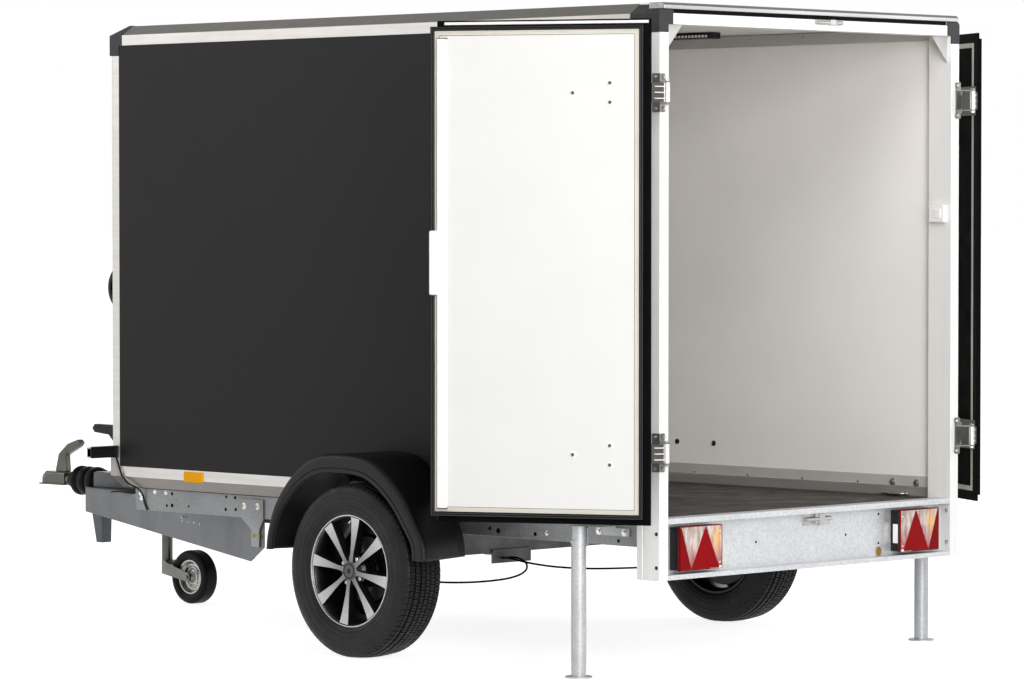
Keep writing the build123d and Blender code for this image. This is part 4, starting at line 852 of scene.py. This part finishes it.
def fill_rim(side):
    """Fills a rim with a barrel, eight flared spokes, a hub, lug bolts and a centre cap."""
    put = on_wheel(side)

    def spoke(mesh, turn):
        loops = []
        for radius, half, face, back in SPOKE_STATIONS:
            section = ((-half - 4, back), (-half - 1.6, face - 3.5), (-half, face), (half, face),
                       (half + 1.6, face - 3.5), (half + 4, back))
            loops.append([mesh.verts.new(put(x, radius * math.cos(turn) - offset * math.sin(turn),
                                             radius * math.sin(turn) + offset * math.cos(turn)))
                          for offset, x in section])
        for k, face in enumerate(join_loops(mesh, loops)):
            face.material_index = BRIGHT if k % 6 == 2 else BLACK
        for loop in (loops[0], loops[-1]):
            mesh.faces.new(loop).material_index = BLACK

    def turned(mesh, choose, profile, steps, place=HUB, direction=OUT, phase=0.0, closed=False):
        """Adds a turned part whose faces take finishes by how far out and how wide they lie."""
        count = len(mesh.faces)
        add_lathe(mesh, put, profile, place, direction, steps, phase, closed)
        mesh.faces.ensure_lookup_table()
        for face in mesh.faces[count:]:
            spots = [v.co.x / MM * side - WHEEL.x for v in face.verts]
            radii = [math.hypot(v.co.y / MM - WHEEL.y, v.co.z / MM - WHEEL.z) for v in face.verts]
            face.material_index = choose(spots, radii)

    def lip(spots, radii):
        return BRIGHT if min(spots) > 69 and min(radii) > 183 else BLACK

    def cap(_, radii):
        return GREY if 10 < max(radii) < 23 or min(radii) > 26.5 else BLACK

    def black(*_):
        return BLACK

    def zinc(*_):
        return ZINC

    def fill(mesh):
        turned(mesh, lip, [(-77.4, 189.5), (-75, 190), (-71, 190), (-65, 178), (-40, 171.5),
                           (30, 171.5), (62, 177.6), (70, 187), (74, 189.6), (76.6, 189.8),
                           (77.4, 188.4), (77, 185.6), (70, 183.2), (66, 178), (40, 168),
                           (-40, 167.5), (-66, 172), (-77.4, 182)], 128, closed=True)
        for k in range(SPOKES):
            spoke(mesh, FIRST_SPOKE + k * math.pi / 4)
        turned(mesh, black, [(-34, 0), (-34, 158), (-28, 160), (-26, 150), (-20, 120), (-8, 112),
                             (-6, 60), (0, 56), (0, 0)], 64)
        turned(mesh, black, [(22, 30), (22, 60), (52, 58), (63, 50), (67, 38), (67, 0), (22, 0)],
               64)
        turned(mesh, cap, [(65, 34), (72, 32.5), (75.5, 29.5), (76.5, 27), (75, 25.5), (75, 23.5),
                           (76.6, 22), (77, 12), (76.4, 9), (74, 7.5), (74, 0)], 48)
        for k in range(4):
            turn = FIRST_SPOKE + (2 * k + 0.5) * math.pi / 4
            turned(mesh, zinc, [(0, 0), (0, 10.5), (6, 10), (6.4, 9), (14, 8.6), (16, 7), (16, 0)],
                   6, (50, 47 * math.cos(turn), 47 * math.sin(turn)), phase=0.2)
        turned(mesh, zinc, [(0, 0), (0, 4.2), (17, 3.8), (19, 3), (19, 0)], 12, (60, 0, 173),
               (0.6, 0.1, -0.5))
    return fill


def build_wheels():
    """Treaded tyres and two-tone rims."""
    for name, side in (("left", -1), ("right", 1)):
        make_piece(f"{name}_tyre_treaded", fill_tyre(side), ["tyre_rubber"], f"{name}_wheel",
                   "tyre", replaces=(f"{name}_tyre",), angle=30)
        make_piece(f"{name}_rim_spoked", fill_rim(side), RIM_FINISHES, f"{name}_wheel", "wheel",
                   bevel=0.7, replaces=(f"{name}_rim",))


# ---------------------------------------------------------------- fenders
FENDER_REAR = ((1.0, 0.0), (0.977, 0.19), (0.869, 0.388), (0.713, 0.632), (0.519, 0.835),
               (0.312, 0.962), (0.09, 1.0))
FENDER_FRONT = ((1.0, 0.0), (0.97, 0.21), (0.869, 0.485), (0.69, 0.735), (0.486, 0.906),
                (0.297, 0.982), (0.09, 1.0))
FENDER_ROUND = 26.0
FENDER_WALL = 3.6
ARCH_REACH, ARCH_TOP, ARCH_SHIFT = 351.0, 627.0, 15.0
# How far down the side a line lies, and how far in: a bead runs round above the lip.
FENDER_BEAD = ((0.35, 0.0), (0.66, 0.0), (0.685, 3.0), (0.72, 3.0), (0.745, 0.4), (0.9, 0.0))


def smooth_outline(fractions):
    """A smooth run of fractions from the listed ones."""
    return [(p.x, p.y) for p in curve([(a, b, 0) for a, b in fractions], 5)]


def fill_fender(side):
    """Fills a mudguard: a crowned top, a rounded edge, a skirt and a turned lip at the arch."""
    put = fixed if side > 0 else mirrored
    bottom, top = low("fenders"), high("fenders")
    middle = (bottom.y + top.y) / 2 - REAR
    half = (top.y - bottom.y) / 2
    shares = [(-a, b) for a, b in smooth_outline(FENDER_REAR)]
    shares += reversed(smooth_outline(FENDER_FRONT))

    def at(share, reach, height, centre=middle):
        return Vector((centre + reach * share[0], bottom.z + (height - bottom.z) * share[1]))

    def line(share):
        """Points across the mudguard, from the wall to the lip."""
        inner, crown = at(share, 325.0, top.z - 1.0), at(share, half, top.z)
        arch = at(share, ARCH_REACH, ARCH_TOP, middle + ARCH_SHIFT)
        toward = (arch - crown).normalized()
        spots = [(HALF + (top.x - FENDER_ROUND - HALF) * t / 0.8, 0.0)
                 for t in (0.0, 0.2, 0.4, 0.6, 0.8)]
        for k in range(1, 6):
            turn = math.pi / 2 * k / 5
            spots.append((top.x - FENDER_ROUND + FENDER_ROUND * math.sin(turn),
                          FENDER_ROUND * 0.55 * (1 - math.cos(turn))))
        row = [(x, inner.lerp(crown, (x - HALF) / (top.x - HALF)) + toward * sink)
               for x, sink in spots]
        last = row[-1][1]
        row += [(top.x - step, last.lerp(arch, t)) for t, step in FENDER_BEAD]
        return row + [(top.x - 1.0, arch), (top.x - 5.0, arch + toward * 2),
                      (top.x - 16.0, arch + toward * 2)]

    def fill(mesh):
        rows = [[mesh.verts.new(put(x, spot.x, max(spot.y, bottom.z))) for x, spot in line(share)]
                for share in shares]
        for first, second in zip(rows, rows[1:]):
            for k in range(len(first) - 1):
                mesh.faces.new((first[k], first[k + 1], second[k + 1], second[k]))
    return fill


def build_fenders():
    """Mudguards with a wall thickness."""
    for name, side in (("left", -1), ("right", 1)):
        piece = make_piece(f"{name}_mudguard", fill_fender(side), ["black_plastic"], "trailer",
                           "black_plastic", replaces=("fenders",) if side < 0 else (), angle=50)
        wall = piece.modifiers.new("wall", "SOLIDIFY")
        wall.thickness = FENDER_WALL * MM
        wall.offset = -1.0
        outward = sum((p.normal * p.area for p in piece.data.polygons), Vector())
        if outward.x * side < 0:
            piece.data.flip_normals()


# ---------------------------------------------------------------- tail lamps
def build_lamps():
    """Tail lamps: black housing, clear cover, red triangle and corner reflector, screws."""
    x0, x1 = 450.0, 655.0
    z0, z1 = low("tail_lamps").z, high("tail_lamps").z
    foot = z0 + 4
    triangle = [(x0 + 18, foot), (x0 + 146, foot), (x0 + 146, foot + 4), (x0 + 83, z1 - 6),
                (x0 + 80, z1 - 6), (x0 + 18, foot + 4)]
    corner = [(x0 + 150, foot), (x1 - 3, foot), (x1 - 3, z1 - 5), (x1 - 8, z1 - 5)]
    screws = ((x1 - 11, 3.0, z0 + 36), (x1 - 11, 3.0, z1 - 30), (x0 + 12, 3.0, z0 + 22),
              (x0 + 12, 3.0, z1 - 22))
    for name, put in (("left", mirrored), ("right", fixed)):
        def piece(part, finish, *parts, slot="lamp_red", **settings):
            assemble(f"{name}_lamp_{part}", finish, slot, *parts, puts=(put,), **settings)

        piece("housing", "black_plastic", (add_box, x0 + 4, x1 - 3, 13, 49.8, z0 + 3, z1 - 3),
              (add_box, x0, x1, 9.5, 13.5, z0, z1), bevel=2.0,
              replaces=("tail_lamps",) if name == "left" else ())
        # The cover's colour holds painted reflection and a painted highlight.
        piece("cover", "lamp_cover_reflection", (add_box, x0 + 1, x1 - 1, 2.6, 9.6, z0 + 1, z1 - 1), bevel=1.6,
              segments=3)
        piece("border", "lamp_dark_red",
              (add_ring, (x0 + 0.8, x1 - 0.8, z0 + 0.8, z1 - 0.8), 2.6, 1.8, 9.6), bevel=0.7)
        piece("triangle", "lamp_red", (add_prism, triangle, "y", 0.2, 4), bevel=0.8)
        piece("corner", "lamp_dark_red", (add_prism, corner, "y", 0.8, 4), bevel=0.8)
        piece("window", "lamp_clear", (add_box, x0 + 3, x0 + 60, 1.8, 4, z0 + 2, z0 + 10),
              bevel=0.8)
        piece("screws", "steel", *each(add_dome, screws, BACK, 3.2, 2.2), slot="zinc")
        piece("side_window", "lamp_clear",
              (add_box, x0 + 3.2, x0 + 40, 17.0, 40, z0 + 30, z0 + 96), bevel=2.0)


# ---------------------------------------------------------------- doors
HINGES = (733.0, 1886.0)
BOLT_ROWS = (728.0, 1885.0)
STRAP_BOLTS = ((173, 31), (173, -31), (296, 0))     # distance from the pin, and rise
BARREL_BOLTS = ((75, 33), (75, -33))
PLATE_EDGE = HALF - 26
LEAF_EDGE = HALF - 47
DOOR_LOW = low("left_door_frame").z
DOOR_HIGH = high("left_door_frame").z
LEAF_LOW = DOOR_LOW + 19
LEAF_HIGH = DOOR_HIGH - 19


def build_door(name, side):
    """Dresses one door: edge profile, seal ring, strips, board and fixings."""
    plate_free, leaf_free = (15.0, -3.0) if side < 0 else (-8.0, 9.0)

    def inset(by):
        return leaf_free + by, LEAF_EDGE - by, LEAF_LOW + by, LEAF_HIGH - by

    def piece(part, finish, slot, *parts, **settings):
        assemble(f"{name}_door_{part}", finish, slot, *parts, puts=(on_door(side),),
                 body=f"{name}_door", **settings)

    def spots(y, rows, bolts):
        return [(PIN.x - reach, y, z + rise) for z in rows for reach, rise in bolts]

    piece("cream_strip", "cream", "white_plastic", (add_ring, inset(14.2), 4.2, 7.2, 10.0),
          (add_ring, inset(19.6), 4.2, 7.2, 9.4), (add_ring, inset(24.9), 4.2, 7.2, 9.4),
          (add_ring, inset(14.2), 15.0, 7.0, 8.4), bevel=0.5)
    piece("inner_line", "gasket", "rubber", (add_ring, inset(12.8), 1.6, 7.6, 9.2),
          (add_ring, inset(29.2), 1.2, 8.0, 8.9))
    piece("seal_beads", "seal_bead", "rubber", (add_ring, inset(1.2), 4.4, 11.0, 13.0),
          (add_ring, inset(7.6), 4.4, 11.0, 13.0), bevel=1.8, segments=4)
    # A bright aluminium strip under the top flange, and a bright strip down the free edge that is a
    # painted highlight.
    piece("edge_strip_and_highlight", "aluminium_and_highlight", "aluminium",
          (add_box, plate_free + 25, PLATE_EDGE - 8, -5.3, -4.2, DOOR_HIGH - 14, DOOR_HIGH - 5),
          (add_box, plate_free - 0.5, plate_free + 1.2, -10.6, -6.8, DOOR_LOW + 3, DOOR_HIGH - 3),
          bevel=0.4)
    x0, x1, z0, z1 = inset(28)
    piece("inner_face", "white_board", "panel_white", (add_box, x0, x1, 7.0, 8.6, z0, z1),
          bevel=0.5)
    line = (plate_free + 34, PLATE_EDGE - 34, DOOR_LOW + 34, DOOR_HIGH - 34)
    piece("outer_line", "cream", "white_plastic", (add_ring, line, 16.0, -12.6, -11.5), bevel=0.3)
    piece("inner_washers", "white_plastic", "white_plastic",
          *each(add_dome, spots(8.5, BOLT_ROWS, STRAP_BOLTS), AHEAD, 12.0, 3.0))
    piece("inner_bolts", "dull_zinc", "zinc",
          *each(add_bolt, spots(11.0, BOLT_ROWS, STRAP_BOLTS), AHEAD, 6.2, 2.6, False), bevel=0.4)
    piece("strap_bolts", "steel", "zinc",
          *each(add_bolt, spots(-16.0, HINGES, STRAP_BOLTS + BARREL_BOLTS), BACK, 5.5, 3.5),
          bevel=0.4)


def build_hinges():
    """Bolts, pin heads and nuts of the hinge brackets."""
    rows = [z + rise for z in HINGES for rise in (-51, 51)]
    rear = [(HALF - 14, -4, z) for z in rows]
    fixings = each(add_bolt, rear, BACK, 5.0, 4.0)
    fixings += each(add_bolt, [(HALF + 4, 15, z) for z in rows], OUT, 5.0, 4.0)
    for z in HINGES:
        x, y = PIN.x, PIN.y - REAR
        fixings += [(add_bolt, (x, y, z + 36.5), UP, 8.0, 5.0, False),
                    (add_bolt, (x, y, z - 36.5), DOWN, 8.0, 6.0, False)]
        fixings += [(add_lathe, [(-0.8, 5.4), (-0.8, 8.9), (0.8, 8.9), (0.8, 5.4)],
                     (x, y, z + edge), UP, 24, 0.0, True) for edge in (-30.8, 30.8)]
    knuckles = [(add_tube, [(724, -16.5, z + rise), (735, -21, z + rise), (762, -44, z + rise)],
                 3.9, 12) for z in HINGES for rise in (-19, 0, 19)]
    for name, side, put in (("left", -1, mirrored), ("right", 1, fixed)):
        assemble(f"{name}_hinge_fixings", "zinc", "zinc", *fixings, puts=(put,), bevel=0.4)
        # Black discs behind the rear bolts: painted shade in the gaps round them.
        assemble(f"{name}_hinge_gap_shade", "black_steel", "black_plastic",
                 *each(add_disc, rear, BACK, 9.5, -0.3, 0.4, 20), puts=(put,))
        assemble(f"{name}_hinge_knuckles", "steel", "zinc", *knuckles, puts=(on_door(side),),
                 body=f"{name}_door", bevel=0.5)


def build_lock():
    """The lock's case on the left door and the handle's plate on the right door."""
    left = {"puts": (on_door(-1),), "body": "left_door"}
    right = {"puts": (on_door(1),), "body": "right_door", "segments": 3}
    assemble("left_lock_case", "white_plastic", "white_plastic",
             (add_box, -3.6, 24, 12.2, 23.4, 1237.5, 1443.5), bevel=3.0, segments=3, **left)
    assemble("left_lock_rail_ends", "gasket", "rubber",
             *[(add_box, 21.6, 55, 8, 20.6, z - 0.6, z + 1.4)
               for z in (DOOR_LOW + 44, DOOR_HIGH - 58)], **left)
    assemble("right_handle_dish", "cap_plastic", "black_plastic",
             (add_box, 82, 178, -25.2, -20, 1304, 1386), bevel=6.0, **right)
    assemble("right_handle_paddle", "black_plastic", "black_plastic",
             (add_box, 92, 150, -27.5, -24, 1318, 1372),
             (add_lathe, [(0, 0), (0, 9), (2.4, 8), (2.4, 0)], (164, -25, 1345), BACK, 24),
             bevel=2.0, **right)


# ---------------------------------------------------------------- body
# Name, finish, thickness, foot, top and bevel of the two layers of the kick strips.
KICK_STRIPS = (("kick_strips", "aluminium", 6, 517, 551, 1.2),
               ("kick_strip_tops", "taupe", 2.5, 551, 587, 0.8))
STRIP_IN = 39.0
RING_HEIGHT = 525
WEB_HOLES = ((-234, 50, 416), (220, 50, 416), (390, 50, 477), (390, 50, 378))


def build_body():
    """Trim on the body's rear and sides, with painted shade in its holes and recess, and the marker
    lamps' lenses.
    """
    foot = DOOR_HIGH + 5.5
    rods = [(add_tube, [(start, y, z), (end, y, z)], radius, 16)
            for y, z, radius in ((-7, foot + 7, 6.5), (39, 478, 7))
            for start, end in ((6, 66), (94, 130))]
    assemble("keeper_bridges", "zinc", "zinc", (add_box, 66, 94, -12, 0, foot, 2143),
             (add_box, 66, 94, 32, 48, 458, 496), *rods, bevel=0.8)
    # A black strip in the header's recess: painted shade.
    assemble("header_recess_shade", "gasket", "rubber",
             (add_box, -690, 690, 6.4, 8.2, 2142.5, 2154.5), bevel=0.4)
    assemble("side_reflectors", "amber", None,
             (add_box, HALF - 1, HALF + 2.2, 2222, 2325, 535, 574),
             (add_prism, [(2225, 537), (2225, 572), (2322, 572), (2322, 537)], "x", HALF + 1.4,
              HALF + 5.5), puts=BOTH, bevel=0.7)
    assemble("post_bolts", "black_steel", "black_plastic",
             *each(add_dome, ((HALF, 13, 362), (HALF, 13, 471)), OUT, 6.5, 3.4), puts=BOTH)
    assemble("post_inner_bolts", "steel", "zinc",
             *each(add_bolt, ((HALF - 42, 14, 367), (HALF - 42, 14, 477)), IN, 5.0, 4.0),
             puts=BOTH, bevel=0.4)
    # Black discs on the rear web: painted shade in its holes.
    assemble("rear_web_hole_shade", "gasket", "rubber",
             *each(add_disc, WEB_HOLES, BACK, 4.2, -0.2, 0.7, 20))
    assemble("rear_web_plug", "brass", "zinc",
             (add_tube, [(390, 50.2, 351), (390, 46.8, 351)], 13, 24, 15), bevel=0.8)
    assemble("marker_lenses", "lamp_clear", None,
             (add_box, HALF + 118, HALF + 126.0, 2694.5, 2715.5, 610.5, 651.5), puts=BOTH,
             bevel=3.0, segments=3)


def build_inside():
    """Kick strips, ceiling strips, lashing rings, lamp and switch inside the box."""
    for name, finish, thick, foot, top, bevel in KICK_STRIPS:
        assemble(name, finish, "aluminium",
                 (add_box, WALL - thick, WALL, 104, FRONT - 50, foot, top), puts=BOTH, bevel=bevel,
                 middle=[(add_box, -HALF + 50, HALF - 50, FRONT_WALL - thick, FRONT_WALL, foot,
                          top)])
    assemble("wall_bolts", "black_steel", "black_plastic",
             *each(add_bolt, ((WALL, 1119, 664), (WALL, 1299, 664)), IN, 7.0, 4.0),
             (add_dome, (500, 628, 516), UP, 7.0, 3.0), puts=BOTH, bevel=0.4)
    ring = [(HALF - reach, y, RING_HEIGHT)
            for reach, y in ((34, 196), (56, 206), (66, 250), (56, 294), (34, 304))]
    assemble("lashing_rings", "zinc", "zinc", (add_box, HALF - 52, HALF - 27, 222, 278, 517, 521.5),
             (add_tube, curve(ring), 4.5), (add_tube, [ring[0], ring[-1]], 4.5),
             *each(add_bolt, ((HALF - 22.5, 166, 562), (HALF - 22.5, 273, 562)), IN, 9.0, 6.0),
             puts=BOTH, bevel=0.6)
    assemble("kick_strip_rivets", "steel", "zinc",
             *[(add_dome, (HALF - 22.5, 171 + k * 260, 557), IN, 5.0, 2.2) for k in range(10)],
             *[(add_dome, (HALF - STRIP_IN, 161 + k * 257, 2121), IN, 4.0, 1.8)
               for k in range(10)], puts=BOTH,
             middle=[(add_dome, (-650 + 260 * k, FRONT - 22.5, 557), BACK, 5.0, 2.2)
                     for k in range(6)])

    def lip(wall, edge):
        return [(wall, 2093), (wall, 2134), (edge, 2134), (edge, 2101), (edge + 7, 2094)]

    edge = FRONT - STRIP_IN
    assemble("ceiling_strips", "taupe", "aluminium",
             (add_prism, lip(WALL, HALF - STRIP_IN), "y", 22, edge), puts=BOTH, bevel=1.5,
             middle=[(add_prism, lip(FRONT_WALL, edge), "x", -HALF + 21, HALF - 21)])
    assemble("ceiling_light", "black_plastic", "black_plastic",
             (add_box, 396, 453, 832, 1082, 2112, 2134.5), bevel=5.0, segments=3)
    assemble("ceiling_diodes", "lamp_clear", "white_plastic",
             *[(add_box, 394.6, 398, 846 + 16 * k, 856 + 16 * k, 2116.5, 2125)
               for k in range(14)], bevel=0.5)
    assemble("light_switch", "white_plastic", "white_plastic",
             (add_box, HALF - 60, HALF - 41, 20, 84, 1468, 1527),
             (add_box, HALF - 62.5, HALF - 58, 32, 60, 1482, 1513), bevel=2.0, segments=3)


# ---------------------------------------------------------------- chassis
AXLE_TUBE = 1358.0
ARM_TIP = 64.5
ARM_LEAN = 0.362
ARM_OUT = (1, 0.36, 0)          # the way an arm's outer face looks
BEAM_BOLTS = ((2617, 479), (2612, 462), (2537, 489), (2476, 489), (549, 444))
BRACKET_BOLTS = ((2046, 462), (1975, 463))
BEAM_HOLES = ((2148, 489, 5), (2100, 488, 6), (2151, 444, 6), (2097, 446, 6), (776, 440, 9),
              (603, 438, 7), (816, 446, 6), (222, 436, 6), (1620, 460, 6), (1700, 446, 9),
              (2443, 486, 6), (2472, 442, 5), (2443, 444, 7), (2352, 445, 4))
LAMP_CABLE = ((757, 2702, 616), (759, 2692, 600), (760, 2680, 578), (759, 2664, 545),
              (748, 2640, 516), (731, 2612, 500), (718, 2598, 478), (714, 2592, 448),
              (714, 2576, 421))


def on_arm(y, z, lift=0):
    """A point on the outer face of a drawbar arm."""
    tip = high("drawbar_arms").y - REAR
    return (ARM_TIP + (tip - y) * ARM_LEAN + lift, y, z)


def build_chassis():
    """Fixings of the frame, the drawbar and the axle, painted shade in the beams' holes, and the
    marker lamps' cables.
    """
    beam = high("chassis_beams").x
    assemble("beam_bolts", "steel", "zinc",
             *[(add_bolt, (beam, y, z), OUT, 6.0, 4.5) for y, z in BEAM_BOLTS],
             *[(add_bolt, (beam + 6, y, z), OUT, 8.0, 6.0)
               for y, z in BRACKET_BOLTS + ((305, 464), (191, 464))],
             *[(add_bolt, (beam, AXLE_TUBE + shift, 440), OUT, 9.0, 7.0) for shift in (-55, 55)],
             puts=BOTH, bevel=0.5)
    # Black discs on the beams: painted shade in their holes.
    assemble("beam_hole_shade", "gasket", "rubber",
             *[(add_disc, (beam, y, z), OUT, radius) for y, z, radius in BEAM_HOLES], puts=BOTH)
    assemble("yellow_bolt_caps", "yellow_cap", None,
             *[(add_dome, (beam + 12, y, z), OUT, 6.0, 5.0) for y, z in BRACKET_BOLTS],
             *[(add_dome, on_arm(y, 355, 6), ARM_OUT, 8.0, 8.0) for y in (2036, 1990)], puts=BOTH)
    assemble("drawbar_rivets", "zinc", "zinc",
             *[(add_dome, on_arm(y, 361), ARM_OUT, 4.5, 2.5) for y in (2547, 2602, 2659, 2714)],
             *[(add_bolt, on_arm(y, 376), ARM_OUT, 5.0, 6.0) for y in (2698, 2716)], puts=BOTH)
    assemble("marker_lamp_cables", "rubber", "rubber", (add_tube, curve(LAMP_CABLE), 3.2),
             puts=BOTH)


# ---------------------------------------------------------------- coupling end
# Distance along the axle and radius, from the middle of the jockey wheel's rim to its side.
JOCKEY_RIM = [(29.5, 9), (29.5, 16), (26, 18), (12, 22), (10, 26), (10, 31), (12.5, 34),
              (12.5, 39), (9, 43), (9, 50), (14, 54), (20, 57), (23.5, 60), (24, 65.5)]


def build_coupling():
    """Bellows, and the jockey wheel's pressed rim with its bolts."""
    end, start = high("overrun_bellows"), low("overrun_bellows")
    length = end.y - start.y
    ring = (end.z - start.z) / 2
    profile = [(0, 0), (0, 49)]
    for fold in (36, 84):
        for k in range(-6, 7):
            turn = k / 6 * math.pi / 2
            profile.append((fold + 21 * math.sin(turn),
                            46 + 11 * math.cos(turn) ** 0.8 if abs(k) < 6 else 46))
    profile += [(108, 45), (112, 50), (117, ring - 3), (121, ring - 0.3), (133, ring - 0.3),
                (136, ring - 3), (139, 42), (146, 37), (160, 36), (172, 33), (184, 29),
                (length, 28), (length, 0)]
    assemble("bellows_folded", "rubber", "rubber",
             (add_lathe, profile, (0, start.y - REAR, (end.z + start.z) / 2), AHEAD, 64), angle=60,
             replaces=("overrun_bellows",))

    hub = (low("jockey_rim") + high("jockey_rim")) / 2
    hub.y -= REAR
    bolts = []
    for side in (-1, 1):
        for k in range(5):
            turn = 2 * math.pi * k / 5
            spot = (side * 12, hub.y + 36.5 * math.cos(turn), hub.z + 36.5 * math.sin(turn))
            bolts.append((add_bolt, spot, (side, 0, 0), 4.0, 4.0, False))
    rim = JOCKEY_RIM + [(-x, radius) for x, radius in reversed(JOCKEY_RIM)]
    assemble("jockey_rim_pressed", "zinc", "aluminium",
             (add_lathe, rim, (0, hub.y, hub.z), OUT, 64, 0.0, True), *bolts, angle=24,
             body="jockey_wheel", replaces=("jockey_rim",))


build_camera()
build_world()
build_floor()
for values in LAMPS:
    add_area(*values)
make_materials()
finish_nodes()
build_body()
build_inside()
build_wheels()
build_fenders()
build_lamps()
build_door("left", -1)
build_door("right", 1)
build_hinges()
build_lock()
build_chassis()
build_coupling()
bpy.context.scene.view_settings.view_transform = "Standard"
